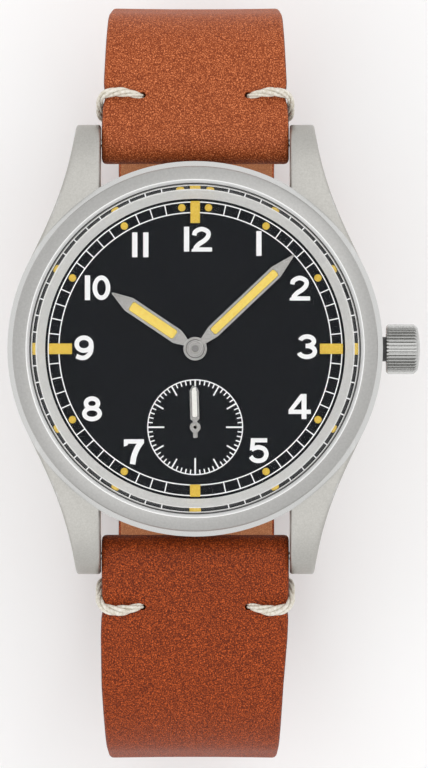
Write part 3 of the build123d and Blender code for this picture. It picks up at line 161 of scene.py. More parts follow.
def tinted(material, pattern, dark, light, low=0.3, high=0.7, middle=None):
    """Let a pattern run the colour from dark to light, through a middle colour if one is given."""
    shader = material.node_tree.nodes["Principled BSDF"]
    colours = node(material, "ShaderNodeValToRGB")
    for stop, place, colour in zip(colours.color_ramp.elements, (low, high), (dark, light)):
        stop.position = place
        stop.color = (*colour, 1)
    if middle:
        colours.color_ramp.elements.new((low + high) / 2).color = (*middle, 1)
    wire(material, pattern, colours.inputs["Fac"])
    wire(material, colours.outputs["Color"], shader.inputs["Base Color"])


def noise(material, size, detail=3.0, stretch=(1, 1, 1)):
    """Noise whose grains are about this many millimetres across."""
    place = node(material, "ShaderNodeTexCoord")
    squeeze = node(material, "ShaderNodeMapping")
    squeeze.inputs["Scale"].default_value = stretch
    speckle = node(material, "ShaderNodeTexNoise", Scale=1 / (size * MM), Detail=detail, Roughness=0.6)
    wire(material, place.outputs["Object"], squeeze.inputs["Vector"])
    wire(material, squeeze.outputs["Vector"], speckle.inputs["Vector"])
    return speckle.outputs["Fac"]


blasted_steel = blank_material("blasted_steel", color=(0.445, 0.435, 0.408), metallic=1.0, roughness=0.45)
grain(blasted_steel, noise(blasted_steel, size=0.09, detail=2.0), distance=0.008, strength=0.4)
spread(blasted_steel, noise(blasted_steel, size=0.35), "Roughness", low=0.42, high=0.54)
tinted(blasted_steel, noise(blasted_steel, size=0.16), dark=(0.41, 0.4, 0.374), light=(0.48, 0.469, 0.442))

polished_steel = blank_material("polished_steel", color=(0.62, 0.62, 0.61), metallic=1.0, roughness=0.16)
spread(polished_steel, noise(polished_steel, size=0.6), "Roughness", low=0.12, high=0.22)

case = copied("mid_case", "case_body")
soften(case, case_edge_softness)
smooth(case, angle=25)
fit(case, "case", ["mid_case"], blasted_steel, polished_steel)
for face in case.data.polygons:
    middle, out = face.center / MM, face.normal
    r = hypot(middle.x, middle.y)
    if r > bezel_r and middle.z > case_edge_z and out.z < level:
        face.material_index = 1

# Bezel
# A turned ring of the same steel, snapped over the mid-case.
# Its sloping face is turned and blasted, and the bevel beside the glass is painted near-white: a painted
# highlight in place of its reflection.
bezel_in, bezel_snap, bezel_lip, bezel_mouth = 15.62, 16.3, 16.15, 16.1
bezel_foot_z, bezel_step_z, bezel_seat_z, bezel_top_z = 6.6, 7.27, 7.72, 8.8
bezel_points = [
    (bezel_in, bezel_foot_z), (bezel_snap, bezel_foot_z), (bezel_snap, bezel_step_z),
    (17.66, bezel_step_z), (bezel_r, 7.33), (bezel_r, 8.06), (17.69, 8.14), (17.6, 8.24), (17.5, 8.31),
    (16.5, 8.79), (16.42, bezel_top_z), (16.34, 8.77), (bezel_mouth, 8.5), (16.07, 8.42), (16.09, 8.3),
    (bezel_lip, 8.15), (bezel_lip, bezel_seat_z), (bezel_in, bezel_seat_z),
]
painted_highlight_out, painted_highlight_low = 16.41, 8.3


def turned(name, profile, steps=240, at=(0, 0), solid=False, weld=0.0005, crisp=22):
    """Add a circle at the first (radius, height) point and extrude it round the rest of a profile."""
    clear()
    r, z = profile[0]
    filled = "TRIFAN" if solid else "NOTHING"
    bpy.ops.mesh.primitive_circle_add(vertices=steps, radius=r * MM, fill_type=filled)
    piece = take(bpy.context.object)
    piece.name = name
    bpy.ops.object.mode_set(mode="EDIT")
    bpy.ops.mesh.select_all(action="SELECT")
    bpy.ops.transform.translate(value=(0, 0, z * MM))
    for next_r, next_z in profile[1:] if solid else [*profile[1:], profile[0]]:
        bpy.ops.mesh.extrude_region_move(TRANSFORM_OT_translate={"value": (0, 0, (next_z - z) * MM)})
        bpy.ops.transform.resize(value=(next_r / r, next_r / r, 1), center_override=(0, 0, 0))
        r, z = next_r, next_z
    bpy.ops.mesh.select_all(action="SELECT")
    bpy.ops.mesh.remove_doubles(threshold=weld * MM)
    bpy.ops.mesh.normals_make_consistent(inside=False)
    bpy.ops.transform.translate(value=(at[0] * MM, at[1] * MM, 0))
    bpy.ops.object.mode_set(mode="OBJECT")
    smooth(piece, angle=crisp)
    return piece


turned_steel = blank_material("turned_steel", color=(0.365, 0.36, 0.35), metallic=1.0, roughness=0.42)
tinted(turned_steel, noise(turned_steel, size=0.22), dark=(0.4, 0.395, 0.384), light=(0.453, 0.448, 0.435))
spread(turned_steel, noise(turned_steel, size=0.5), "Roughness", low=0.38, high=0.48)
grain(turned_steel, noise(turned_steel, size=0.1, detail=2.0), distance=0.008, strength=0.35)

bezel = turned("bezel_ring", bezel_points)
# Near-white, barely metallic colour for the steel bevel beside the glass: a painted highlight.
painted_highlight_satin = blank_material("painted_highlight_satin", color=(0.92, 0.92, 0.91), metallic=0.2, roughness=0.4)
spread(painted_highlight_satin, noise(painted_highlight_satin, size=0.3), "Roughness", low=0.35, high=0.45)
fit(bezel, "case", ["bezel"], turned_steel, painted_highlight_satin)
for face in bezel.data.polygons:
    r = hypot(face.center.x, face.center.y) / MM
    if r < painted_highlight_out and face.center.z > painted_highlight_low * MM:
        face.material_index = 1

# Crystal and its gasket
# Domed mineral glass, ground to a bevel round its edge and polished.
# It is pressed into the bezel in a dark nylon ring.
crystal_low, crystal_edge, crystal_bevel, crystal_top = bezel_seat_z, 8.1, 9.2, 10.3
crystal_r, bevel_r, hollow_r, hollow_rise = 15.95, 15.45, 15.0, 0.95
foot_w, bevel_break, edge_break, dome_steps = 0.1, (0.02, 0.035), (0.015, 0.03), 28
gasket_in, gasket_out, gasket_low, gasket_top = 15.97, 16.13, 7.73, 8.3


def dome(r, rim_z, top_z, steps):
    """Points of an arc from the middle of a dome to its rim."""
    rise = top_z - rim_z
    sphere = (r * r + rise * rise) / (2 * rise)
    centre = top_z - sphere
    reach = atan2(r, rim_z - centre)
    turns = [reach * i / steps for i in range(steps + 1)]
    return [(sphere * sin(a), centre + sphere * cos(a)) for a in turns]


def tuned(material, **values):
    """Set more of the shader's own values, by their names."""
    for key, value in values.items():
        material.node_tree.nodes["Principled BSDF"].inputs[key.replace("_", " ")].default_value = value


glass = blank_material("mineral_glass", color=(1.0, 1.0, 1.0), roughness=0.015)
tuned(glass, Transmission_Weight=1.0, IOR=1.5, Specular_Tint=(0.03, 0.03, 0.03, 1))
passing = node(glass, "ShaderNodeBsdfTransparent")
ray = node(glass, "ShaderNodeLightPath")
either = node(glass, "ShaderNodeMixShader")
wire(glass, ray.outputs["Is Shadow Ray"], either.inputs["Fac"])
wire(glass, glass.node_tree.nodes["Principled BSDF"].outputs["BSDF"], either.inputs[1])
wire(glass, passing.outputs["BSDF"], either.inputs[2])
wire(glass, either.outputs["Shader"], glass.node_tree.nodes["Material Output"].inputs["Surface"])

outer_face = dome(bevel_r, crystal_bevel, crystal_top, dome_steps)[1:]
inner_face = dome(hollow_r, crystal_low, crystal_low + hollow_rise, dome_steps)[1:]
crystal_profile = outer_face + [
    (bevel_r + bevel_break[0], crystal_bevel - bevel_break[1]),
    (crystal_r - edge_break[0], crystal_edge + edge_break[1]),
    (crystal_r, crystal_edge), (crystal_r, crystal_low), (hollow_r + foot_w, crystal_low),
] + inner_face[::-1]
crystal = turned("crystal_glass", crystal_profile, solid=True)
fit(crystal, "case", ["crystal"], glass)

dark_nylon = blank_material("dark_nylon", color=(0.04, 0.04, 0.04), roughness=0.45)
grain(dark_nylon, noise(dark_nylon, size=0.15), distance=0.01, strength=0.4)
spread(dark_nylon, noise(dark_nylon, size=0.4), "Roughness", low=0.4, high=0.55)
gasket = turned("crystal_gasket_ring", [
    (gasket_in, gasket_low), (gasket_out, gasket_low), (gasket_out, crystal_edge),
    (16.06, gasket_top), (15.99, gasket_top), (gasket_in, 8.26),
])
fit(gasket, "case", ["crystal_gasket"], dark_nylon)

# Rehaut ring
# The sloping ring between dial and glass, turned from aluminium with a satin silver face.
# It rests on the dial's edge, inside the bezel's skirt.
rehaut_in, rehaut_out, rehaut_low, rehaut_top = 14.5, 15.55, 6.3, 7.55
satin_silver = blank_material("satin_silver", color=(0.95, 0.945, 0.92), roughness=0.5)
tinted(satin_silver, noise(satin_silver, size=0.3), dark=(0.89, 0.885, 0.86), light=(0.96, 0.955, 0.93))
spread(satin_silver, noise(satin_silver, size=0.5), "Roughness", low=0.45, high=0.6)
rehaut = turned("rehaut", [
    (rehaut_in, rehaut_low), (rehaut_out, rehaut_low), (rehaut_out, rehaut_top),
    (15.32, rehaut_top), (15.28, 7.53), (14.51, 6.42), (rehaut_in, 6.4),
])
fit(rehaut, "case", ["rehaut_ring"], satin_silver)

# Case back
# The flat screwed back with six notches for the case key, satin turned from steel.
# A rubber ring between it and the mid-case keeps the water out.
back_edge = 0.06
back = copied("case_back", "case_back_plate")
soften(back, back_edge)
smooth(back, angle=25)


def waves(material, size, distortion, rings=False):
    """Fine tool marks, about a third of this many millimetres apart; rings run round the middle."""
    place = node(material, "ShaderNodeTexCoord")
    marks = node(material, "ShaderNodeTexWave", Scale=1 / (size * MM), Distortion=distortion, Detail=2.0)
    if rings:
        marks.wave_type = "RINGS"
        marks.rings_direction = "Z"
    wire(material, place.outputs["Object"], marks.inputs["Vector"])
    return marks.outputs["Fac"]


turned_back = blank_material("turned_back", color=(0.55, 0.55, 0.54), metallic=1.0, roughness=0.28)
grain(turned_back, waves(turned_back, size=1.1, distortion=1.5, rings=True), distance=0.01, strength=0.35)
spread(turned_back, noise(turned_back, size=0.6), "Roughness", low=0.24, high=0.36)
fit(back, "case", ["case_back"], turned_back)

black_rubber = blank_material("black_rubber", color=(0.018, 0.018, 0.018), roughness=0.7)
grain(black_rubber, noise(black_rubber, size=0.2), distance=0.02, strength=0.5)
spread(black_rubber, noise(black_rubber, size=0.5), "Roughness", low=0.62, high=0.8)


def dressed(names, material):
    """Paint solids that are shown as they are."""
    for name in names:
        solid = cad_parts[name]
        solid.data.materials.clear()
        solid.data.materials.append(material)


dressed(["case_back_gasket", "crown_gasket"], black_rubber)

# Crown, tube and stem
# The crown is turned from steel, knurled and polished, and its rim is bevelled.
# It is screwed to the stem and slides in and out over a steel tube pressed into the case.
crown_edge = 0.035
crown = copied("crown", "crown_knob")
soften(crown, crown_edge, corner=30)
smooth(crown, angle=28)
crown_steel = blank_material("crown_steel", color=(0.45, 0.45, 0.44), metallic=1.0, roughness=0.24)
spread(crown_steel, noise(crown_steel, size=0.3), "Roughness", low=0.2, high=0.32)
tinted(crown_steel, noise(crown_steel, size=0.15), dark=(0.41, 0.41, 0.4), light=(0.5, 0.5, 0.49))
fit(crown, "crown", ["crown"], crown_steel)
# The tube's steel is painted near-black: painted shade of the narrow gap between crown and case.
painted_shade_tube_steel = blank_material("painted_shade_tube_steel", color=(0.1, 0.1, 0.1), metallic=1.0, roughness=0.5)
spread(painted_shade_tube_steel, noise(painted_shade_tube_steel, size=0.2), "Roughness", low=0.42, high=0.58)
dressed(["crown_tube"], painted_shade_tube_steel)

# Movement
# Gilt brass wheels, nickel plated bridges with fine graining, ground steel parts, blued springs
# and ruby jewels, all behind the closed case back. The hands' arbors end in steel above the dial.
steel_from, steel_to = 6.0, 6.4
gilt_brass = blank_material("gilt_brass", color=(0.78, 0.56, 0.24), metallic=1.0, roughness=0.25)
spread(gilt_brass, noise(gilt_brass, size=0.3), "Roughness", low=0.2, high=0.34)
tinted(gilt_brass, noise(gilt_brass, size=0.5), dark=(0.72, 0.5, 0.2), light=(0.82, 0.6, 0.28))

nickel_plate = blank_material("nickel_plate", color=(0.62, 0.6, 0.56), metallic=1.0, roughness=0.3)
grain(nickel_plate, waves(nickel_plate, size=0.9, distortion=2.0), distance=0.01, strength=0.3)
spread(nickel_plate, noise(nickel_plate, size=0.4), "Roughness", low=0.26, high=0.38)

ground_steel = blank_material("ground_steel", color=(0.56, 0.56, 0.57), metallic=1.0, roughness=0.26)
spread(ground_steel, noise(ground_steel, size=0.2), "Roughness", low=0.2, high=0.36)
ground_lines = noise(ground_steel, size=0.08, detail=2.0, stretch=(1, 8, 1))
grain(ground_steel, ground_lines, distance=0.006, strength=0.4)

blued_steel = blank_material("blued_steel", color=(0.06, 0.1, 0.32), metallic=1.0, roughness=0.25)
tinted(blued_steel, noise(blued_steel, size=0.6), dark=(0.04, 0.07, 0.26), light=(0.1, 0.14, 0.4))

ruby = blank_material("ruby", color=(0.55, 0.02, 0.07), roughness=0.08)
tuned(ruby, Transmission_Weight=0.6)
tinted(ruby, noise(ruby, size=0.5), dark=(0.45, 0.01, 0.05), light=(0.62, 0.03, 0.09))

steel_ended = blank_material("steel_ended_brass", color=(0.78, 0.56, 0.24), metallic=1.0, roughness=0.3)
ended_place = node(steel_ended, "ShaderNodeTexCoord")
ended_height = node(steel_ended, "ShaderNodeSeparateXYZ")
wire(steel_ended, ended_place.outputs["Object"], ended_height.inputs["Vector"])
ended_share = node(steel_ended, "ShaderNodeMapRange", From_Min=steel_from * MM, From_Max=steel_to * MM)
wire(steel_ended, ended_height.outputs["Z"], ended_share.inputs["Value"])
tinted(steel_ended, ended_share.outputs["Result"], dark=(0.78, 0.56, 0.24), light=(0.17, 0.165, 0.16))
spread(steel_ended, noise(steel_ended, size=0.2), "Roughness", low=0.26, high=0.38)

dressed(["third_wheel", "fourth_wheel", "balance_wheel", "minute_wheel", "barrel_drum", "barrel_cover"],
        gilt_brass)
dressed(["centre_wheel", "hour_wheel"], steel_ended)
dressed(["mainplate", "barrel_bridge", "train_bridge", "balance_cock", "pallet_bridge", "movement_ring"],
        nickel_plate)
dressed(["stem", "barrel_arbor", "crown_wheel", "ratchet_wheel_and_screw", "winding_pinion", "clutch",
         "click", "escape_wheel", "pallet_fork", "setting_wheel", "setting_lever", "yoke", "movement_screws"],
        ground_steel)
dressed(["mainspring", "hairspring", "click_spring", "spring_bar_springs"], blued_steel)
dressed(["jewels"], ruby)

# Dial
# A thin brass plate in satin black lacquer with a sunk seconds dial.
# Track, figures and seconds scale are printed on it in white.
dial_z, sunk_z = rehaut_low, 6.18
seconds_at, seconds_r = (0, -7.58), 4.58
track_in, track_out, line_w, line_steps = 13.17, 14.2, 0.11, 240
print_t, mark_share, figure_share, figure_step = 0.012, 0.9, 0.7, 0.0015
degrees = 6  # from one minute to the next
blank_minutes = (0, 1, 15, 29, 31, 45, 59)
second_scale = [  # length and width of the marks, and the seconds that they stand at
    (0.46, 0.12, [n for n in range(60) if n % 5]),
    (1.05, 0.15, [n for n in range(60) if n % 5 == 0 and n % 15] + [0]),
    (1.6, 0.16, [15, 30, 45]),
]

black_lacquer = blank_material("black_lacquer", color=(0.0035, 0.0048, 0.007), roughness=0.42)
tuned(black_lacquer, Specular_IOR_Level=0.1)
grain(black_lacquer, noise(black_lacquer, size=0.12), distance=0.004, strength=0.1)
spread(black_lacquer, noise(black_lacquer, size=1.5), "Roughness", low=0.36, high=0.48)
dressed(["dial"], black_lacquer)


def plate(name, loops, low, high, edge=0.0, weld=0.0002, straight=0.5):
    """A flat plate cut to outlines of (x, y) points, its edges softened; inner outlines are holes."""
    curve = bpy.data.curves.new(name, "CURVE")
    curve.dimensions = "2D"
    curve.fill_mode = "BOTH"
    curve.extrude = (high - low) / 2 * MM
    for points in loops:
        spline = curve.splines.new("POLY")
        spline.points.add(len(points) - 1)
        for target, (x, y) in zip(spline.points, points):
            target.co = (x * MM, y * MM, 0, 1)
        spline.use_cyclic_u = True
    piece = bpy.data.objects.new(name, curve)
    bpy.context.scene.collection.objects.link(piece)
    take(piece)
    bpy.ops.object.convert(target="MESH")
    bpy.ops.object.mode_set(mode="EDIT")
    bpy.ops.mesh.select_all(action="SELECT")
    bpy.ops.transform.translate(value=(0, 0, (low + high) / 2 * MM))
    bpy.ops.mesh.remove_doubles(threshold=weld * MM)
    bpy.ops.mesh.normals_make_consistent(inside=False)
    bpy.ops.mesh.dissolve_limited(angle_limit=radians(straight))
    bpy.ops.object.mode_set(mode="OBJECT")
    if edge:
        soften(piece, edge, corner=50)
    return piece


def copies(piece, angles, at=(0, 0)):
    """Copies of a mark made at 12 o'clock, turned clockwise by each angle about a place."""
    made = []
    there = Matrix.Translation((at[0] * MM, at[1] * MM, 0))
    for angle in angles:
        take(piece)
        bpy.ops.object.duplicate()
        mark = bpy.context.object
        mark.data.transform(there @ Matrix.Rotation(-radians(angle), 4, "Z") @ there.inverted())
        made.append(mark)
    bpy.data.objects.remove(piece)
    return made


def circle(r, at=(0, 0), steps=96):
    """Points round a circle."""
    turns = [2 * pi * i / steps for i in range(steps)]
    return [(at[0] + r * cos(a), at[1] + r * sin(a)) for a in turns]


def ring(r, width, at=(0, 0), steps=96):
    """The two outlines of a circle drawn in a line of this width."""
    return [circle(r + width / 2, at, steps), circle(r - width / 2, at, steps)]


def oval(rx, ry, y, width, steps=48):
    """The two outlines of an oval drawn in a line of this width."""
    turns = [2 * pi * i / steps for i in range(steps)]
    rims = (width / 2, -width / 2)
    return [[((rx + rim) * cos(a), y + (ry + rim) * sin(a)) for a in turns] for rim in rims]


def block(left, low, right, high):
    """The corners of a rectangle."""
    return [(left, low), (right, low), (right, high), (left, high)]


def bar(inner, outer, width, at=(0, 0)):
    """A straight mark at 12 o'clock, between two distances from a centre."""
    x, y = at
    return block(x - width / 2, y + inner, x + width / 2, y + outer)


def flow(points, steps=10):
    """A smooth line through points, the first and last included."""
    ends = [points[0], *points, points[-1]]
    line = []
    for a, b, c, d in zip(ends, ends[1:], ends[2:], ends[3:]):
        for i in range(steps):
            t = i / steps
            line.append(tuple(
                (2 * q + (r - p) * t + (2 * p - 5 * q + 4 * r - s) * t**2
                 + (3 * q - p - 3 * r + s) * t**3) / 2
                for p, q, r, s in zip(a, b, c, d)
            ))
    return line + [points[-1]]


def pen(line, width):
    """The outline of a pen stroke of even width along a line, square at both ends."""
    left, right = [], []
    for i, (x, y) in enumerate(line):
        before, after = line[max(i - 1, 0)], line[min(i + 1, len(line) - 1)]
        dx, dy = after[0] - before[0], after[1] - before[1]
        length = hypot(dx, dy)
        nx, ny = -dy / length * width / 2, dx / length * width / 2
        left.append((x + nx, y + ny))
        right.append((x - nx, y - ny))
    return left + right[::-1]


def arc(x, y, rx, ry, start, end, steps=24):
    """Points round part of an oval, by its angles in degrees."""
    turns = [radians(start + (end - start) * i / steps) for i in range(steps + 1)]
    return [(x + rx * cos(a), y + ry * sin(a)) for a in turns]


fig_h, fig_w, one_h, one_w, seven_w = 1.21, 0.44, 1.2, 0.51, 0.54
figures = {
    "1": [[pen([(0, -one_h), (0, one_h)], one_w)]],
    "0": [oval(rx=0.64, ry=0.97, y=0, width=fig_w)],
    "2": [
        [pen(flow([(-0.72, 0.36), (-0.6, 0.72), (-0.02, 0.97), (0.58, 0.72), (0.62, 0.28), (0.28, -0.12),
                   (-0.28, -0.5), (-0.66, -0.93)]), fig_w)],
        [[(-0.98, -fig_h), (1.0, -fig_h), (1.0, -0.8), (-0.7, -0.8), (-0.98, -1.0)]],
    ],
    "3": [
        [pen(arc(x=-0.06, y=0.53, rx=0.66, ry=0.45, start=168, end=-78), fig_w)],
        [pen(arc(x=-0.08, y=-0.45, rx=0.78, ry=0.53, start=96, end=-165), fig_w)],
        [block(-0.2, -0.14, 0.16, 0.3)],
    ],
    "4": [
        [block(0.18, -fig_h, 0.66, fig_h)],
        [block(-1.08, -0.72, 1.08, -0.3)],
        [[(-1.08, -0.32), (-0.6, -0.32), (0.5, 1.0), (0.4, fig_h), (0.1, fig_h)]],
    ],
    "5": [
        [block(-0.74, 0.8, 0.84, fig_h)],
        [[(-0.84, 0.02), (-0.42, 0.12), (-0.32, 1.0), (-0.74, 1.0)]],
        [pen(flow([(-0.68, 0.1), (-0.3, 0.28), (0.1, 0.32), (0.58, 0.12), (0.76, -0.34), (0.54, -0.8),
                   (0.05, -0.98), (-0.45, -0.88), (-0.76, -0.56)]), fig_w)],
    ],
    "7": [
        [block(-0.96, 0.78, 0.98, fig_h)],
        [[(-0.96, 0.5), (-0.6, 0.62), (-0.52, 0.9), (-0.96, 0.9)]],
        [pen(flow([(0.7, 0.92), (0.32, 0.32), (0.02, -0.42), (-0.12, -fig_h)]), seven_w)],
    ],
    "8": [oval(rx=0.58, ry=0.47, y=0.52, width=fig_w), oval(rx=0.74, ry=0.53, y=-0.46, width=fig_w)],
    "9": [
        oval(rx=0.7, ry=0.62, y=0.35, width=fig_w),
        [pen(flow([(0.7, 0.4), (0.72, 0.05), (0.6, -0.5), (0.2, -0.9), (-0.25, -0.98),
                   (-0.74, -0.8)]), fig_w)],
    ],
}
figure_places = [
    ("1", -0.83, 10.6), ("2", 0.63, 10.6), ("1", 6.16, 10.18), ("2", 10.11, 5.87), ("3", 10.87, 0.2),
    ("4", 10.1, -5.58), ("5", 6.12, -9.85), ("7", -5.93, -9.95), ("8", -9.97, -5.8), ("9", -10.75, 0.1),
    ("1", -10.41, 5.9), ("0", -9.06, 5.9), ("1", -5.84, 10.05), ("1", -4.77, 10.05),
]


def joined(name, parts):
    """Join like parts into one piece."""
    clear()
    for part in parts:
        part.select_set(True)
    bpy.context.view_layer.objects.active = parts[0]
    bpy.ops.object.join()
    parts[0].name = name
    return parts[0]


printed = [
    plate("track_line", ring(r, line_w, steps=line_steps), dial_z, dial_z + print_t)
    for r in (track_in, track_out)
]
minute_mark = plate("minute_mark", [bar(track_in, track_out, line_w)], dial_z, dial_z + print_t * mark_share)
printed += copies(minute_mark, [m * degrees for m in range(60) if m % 5 and m not in blank_minutes])
for figure, x, y in figure_places:
    for loops in figures[figure]:
        # strokes that cross differ a little in height, so that no two faces lie in one plane
        top = dial_z + print_t * figure_share + len(printed) % 4 * figure_step
        moved = [[(px + x, py + y) for px, py in loop] for loop in loops]
        printed.append(plate("figure_" + figure, moved, dial_z, top))
printed.append(plate("seconds_line", ring(seconds_r, line_w, seconds_at), sunk_z, sunk_z + print_t))
for length, width, seconds in second_scale:
    outline = bar(seconds_r - length, seconds_r, width, seconds_at)
    second_mark = plate("second_mark", [outline], sunk_z, sunk_z + print_t * mark_share)
    printed += copies(second_mark, [n * degrees for n in seconds], seconds_at)
printing = joined("dial_printing", printed)
white_print = blank_material("white_print", color=(0.95, 0.95, 0.95), roughness=0.5)
grain(white_print, noise(white_print, size=0.08), distance=0.004, strength=0.3)
tinted(white_print, noise(white_print, size=0.2), dark=(0.92, 0.92, 0.92), light=(0.98, 0.98, 0.98))
fit(printing, "case", [], white_print)

# Luminous marks
# Aged luminous paint laid on the dial by hand, thick enough to stand proud.
# Four blocks mark the quarters, and a dot stands at every other hour and on both sides of 12.
lume_t, lume_edge = 0.11, 0.045
lume_blocks = [  # clockwise angle, inner and outer distance, width
    (0, 12.15, 14.28, 0.92), (90, 12.05, 14.28, 1.0), (180, 13.12, 14.3, 1.0), (270, 11.9, 14.15, 1.04),
]
lume_dots = [5.4, -5.4] + [30 * h for h in (1, 2, 4, 5, 7, 8, 10, 11)]
dot_at, dot_steps = (0, 13.7), 24
dot_profile = [(0.05, dial_z + 0.13), (0.2, dial_z + 0.115), (0.31, dial_z + 0.075), (0.365, dial_z)]
marks = []
for angle, inner, outer, width in lume_blocks:
    hour_block = plate("hour_block", [bar(inner, outer, width)], dial_z, dial_z + lume_t, lume_edge)
    marks += copies(hour_block, [angle])
marks += copies(turned("hour_dot", dot_profile, dot_steps, dot_at, solid=True), lume_dots)
lume_marks = joined("luminous_marks", marks)
smooth(lume_marks, angle=50)
aged_lume = blank_material("aged_lume", color=(0.82, 0.55, 0.07), roughness=0.75)
tinted(aged_lume, noise(aged_lume, size=0.14, detail=4.0), dark=(0.69, 0.42, 0.04), light=(0.86, 0.62, 0.087))
grain(aged_lume, noise(aged_lume, size=0.06), distance=0.02, strength=0.6)
fit(lume_marks, "case", [], aged_lume)

# Hands
# Stamped steel hands with a satin face, pressed on the arbors at the middle and on the seconds arbor.
# A slot in each is filled with pale luminous paint.
minute_turn, hour_turn, second_turn = 46.5, 303.875, -1.7
hand_edge, hub_proud, fill_gap, fill_sunk = 0.03, 0.02, 0.035, 0.02
slot_corner, slot_corner_share = 0.14, 0.44
hub_steps = 48


def hand_outline(length, width, shoulder, root, neck, neck_end, point, tail=0.0, tail_w=0.0):
    """A baton along +Y from its hub to its point."""
    right = [
        (neck / 2, 0), (neck / 2, neck_end), (width / 2, root), (width / 2, shoulder), (point / 2, length),
    ]
    left = [(-x, y) for x, y in reversed(right)]
    foot = [(-tail_w / 2, 0), (-tail_w / 2, -tail), (tail_w / 2, -tail), (tail_w / 2, 0)] if tail else []
    return right + left + foot


def swung(points, turn, at=(0, 0)):
    """Turn points clockwise from 12 o'clock about a place."""
    a = -radians(turn)
    return [(at[0] + x * cos(a) - y * sin(a), at[1] + x * sin(a) + y * cos(a)) for x, y in points]


def slot_points(width, low, high, draw=0.0, point=0.0):
    """A slot along +Y with softened corners, drawn in all round and more or less pointed at its far end."""
    w, low, high = width / 2 - draw, low + draw, high - draw
    c = min(w * slot_corner_share, slot_corner)
    return [(w - c, low), (w, low + c), (w, high - c - point), (w - c, high), (-w + c, high),
            (-w, high - c - point), (-w, low + c), (-w + c, low)]


hand_steel = blank_material("hand_steel", color=(0.3, 0.29, 0.28), metallic=1.0, roughness=0.42)
grain(hand_steel, noise(hand_steel, size=0.07), distance=0.006, strength=0.5)
tinted(hand_steel, noise(hand_steel, size=0.12), dark=(0.24, 0.235, 0.225), light=(0.38, 0.37, 0.355))
spread(hand_steel, noise(hand_steel, size=0.25), "Roughness", low=0.36, high=0.5)
dressed(["cannon_pinion"], hand_steel)
# The hands' edges are polished, smoother than the blade, and their steel is also painted much lighter: a
# painted highlight along the edges.
painted_highlight_edge = blank_material("hand_edge_painted_highlight", color=(0.75, 0.75, 0.74), metallic=1.0, roughness=0.3)
spread(painted_highlight_edge, noise(painted_highlight_edge, size=0.2), "Roughness", low=0.25, high=0.35)
pale_lume = blank_material("pale_lume", color=(0.94, 0.7, 0.13), roughness=0.7)
tinted(pale_lume, noise(pale_lume, size=0.2, detail=4.0), dark=(0.89, 0.6, 0.09), light=(0.98, 0.78, 0.18))
grain(pale_lume, noise(pale_lume, size=0.08), distance=0.02, strength=0.6)
cream_lume = blank_material("cream_lume", color=(0.9, 0.89, 0.84), roughness=0.7)
tinted(cream_lume, noise(cream_lume, size=0.2, detail=4.0), dark=(0.84, 0.83, 0.77), light=(0.95, 0.94, 0.9))
grain(cream_lume, noise(cream_lume, size=0.08), distance=0.02, strength=0.6)


def made_hand(name, body, cad, paint, turn, blade, slot, low, thick, hub, hole, at=(0, 0)):
    """A slotted blade, a hub disc with its hole and the paint in the slot, joined."""
    high = low + thick
    outlines = [swung(blade, turn, at), swung(slot_points(**slot), turn, at)]
    discs = [circle(hub, at, hub_steps), circle(hole, at, hub_steps)]
    steel = [
        plate("blade", outlines, low, high, hand_edge),
        plate("hub", discs, low, high + hub_proud, hand_edge),
    ]
    for part in steel:
        part.data.materials.append(hand_steel)
        part.data.materials.append(painted_highlight_edge)
        # Side and bevel faces take the lighter edge steel, the painted highlight.
        for face in part.data.polygons:
            if abs(face.normal.z) < level:
                face.material_index = 1
    filled = [swung(slot_points(**slot, draw=fill_gap), turn, at)]
    fill = plate("fill", filled, low + fill_sunk, high - fill_sunk)
    fill.data.materials.append(paint)
    hand = joined(name, [*steel, fill])
    smooth(hand, angle=40)
    fit(hand, body, [cad])


made_hand(
    "minute_baton", "minute", "minute_hand", pale_lume, minute_turn,
    blade=hand_outline(length=13.2, width=1.28, shoulder=10.8, root=2.37, neck=0.6, neck_end=0.95, point=0.1),
    slot=dict(width=0.84, low=2.3, high=10.8), low=7.1, thick=0.15, hub=0.8, hole=0.585,
)
made_hand(
    "hour_baton", "hour", "hour_hand", pale_lume, hour_turn,
    blade=hand_outline(length=9.67, width=1.42, shoulder=7.7, root=2.05, neck=0.66, neck_end=1.1, point=0.1),
    slot=dict(width=1.02, low=2.3, high=7.5), low=6.75, thick=0.15, hub=1.12, hole=0.955,
)
made_hand(
    "seconds_baton", "seconds", "seconds_hand", cream_lume, second_turn,
    blade=hand_outline(length=4.0, width=0.86, shoulder=3.55, root=0.8, neck=0.4, neck_end=0.6, point=0.3,
                       tail=1.02, tail_w=0.42),
    slot=dict(width=0.56, low=0.93, high=3.86, point=0.22), low=6.45, thick=0.1, hub=0.52, hole=0.165,
    at=seconds_at,
)

# Strap
# Two straps of tan pebbled leather, each folded round its spring bar with the thin end glued under.
# The short one is folded round the buckle's bar too, and the long one ends in a round tail.
strap_t, strap_top_w, strap_low_w, strap_round = 2.0, 18.3, 16.2, 0.45
bar_y, bar_z, lug_lean = 20.2, 2.05, radians(9)
strap_floor, buckle_y, buckle_z = -36.0, -5.0, -35.95
fold_r, fold_hole_r, fold_len, fold_seam, under_seam, seam_lap = 2.05, 0.95, 6.6, 0.05, 0.04, 0.1
under_us = (6.3, 6.0, 5.5, 5.0, 4.5, 4.0, 3.5, 3.0, 2.6, 2.2, 1.8, 1.5)
thick_at, thick_low, thin_at, thin_low = 2.6, 1.5, 6.325, 0.225  # how the end glued under thins out
waist, shoulder_turn = 1.3, 45  # where the fold's round part runs into its flat parts
upper_from, upper_to, upper_step = 1.6, 6.4, 0.3
tail_end, tail_r, tail_tip, tip_gap, layer_gap = 19.5, 8.1, 0.9995, 0.004, 0.1
taper, short_taper_from, long_taper_from = 0.045, 21.8, 28.0


def lug_fold(outward):
    """The place in (y, z) of a point along and above the leather at a spring bar."""
    return lambda u, w: (
        outward * (bar_y + u * cos(lug_lean) + w * sin(lug_lean)),
        bar_z - u * sin(lug_lean) + w * cos(lug_lean),
    )


def buckle_fold(u, w):
    """The same place at the buckle's bar, where the leather's upper face looks down."""
    return (buckle_y + u, buckle_z - w)


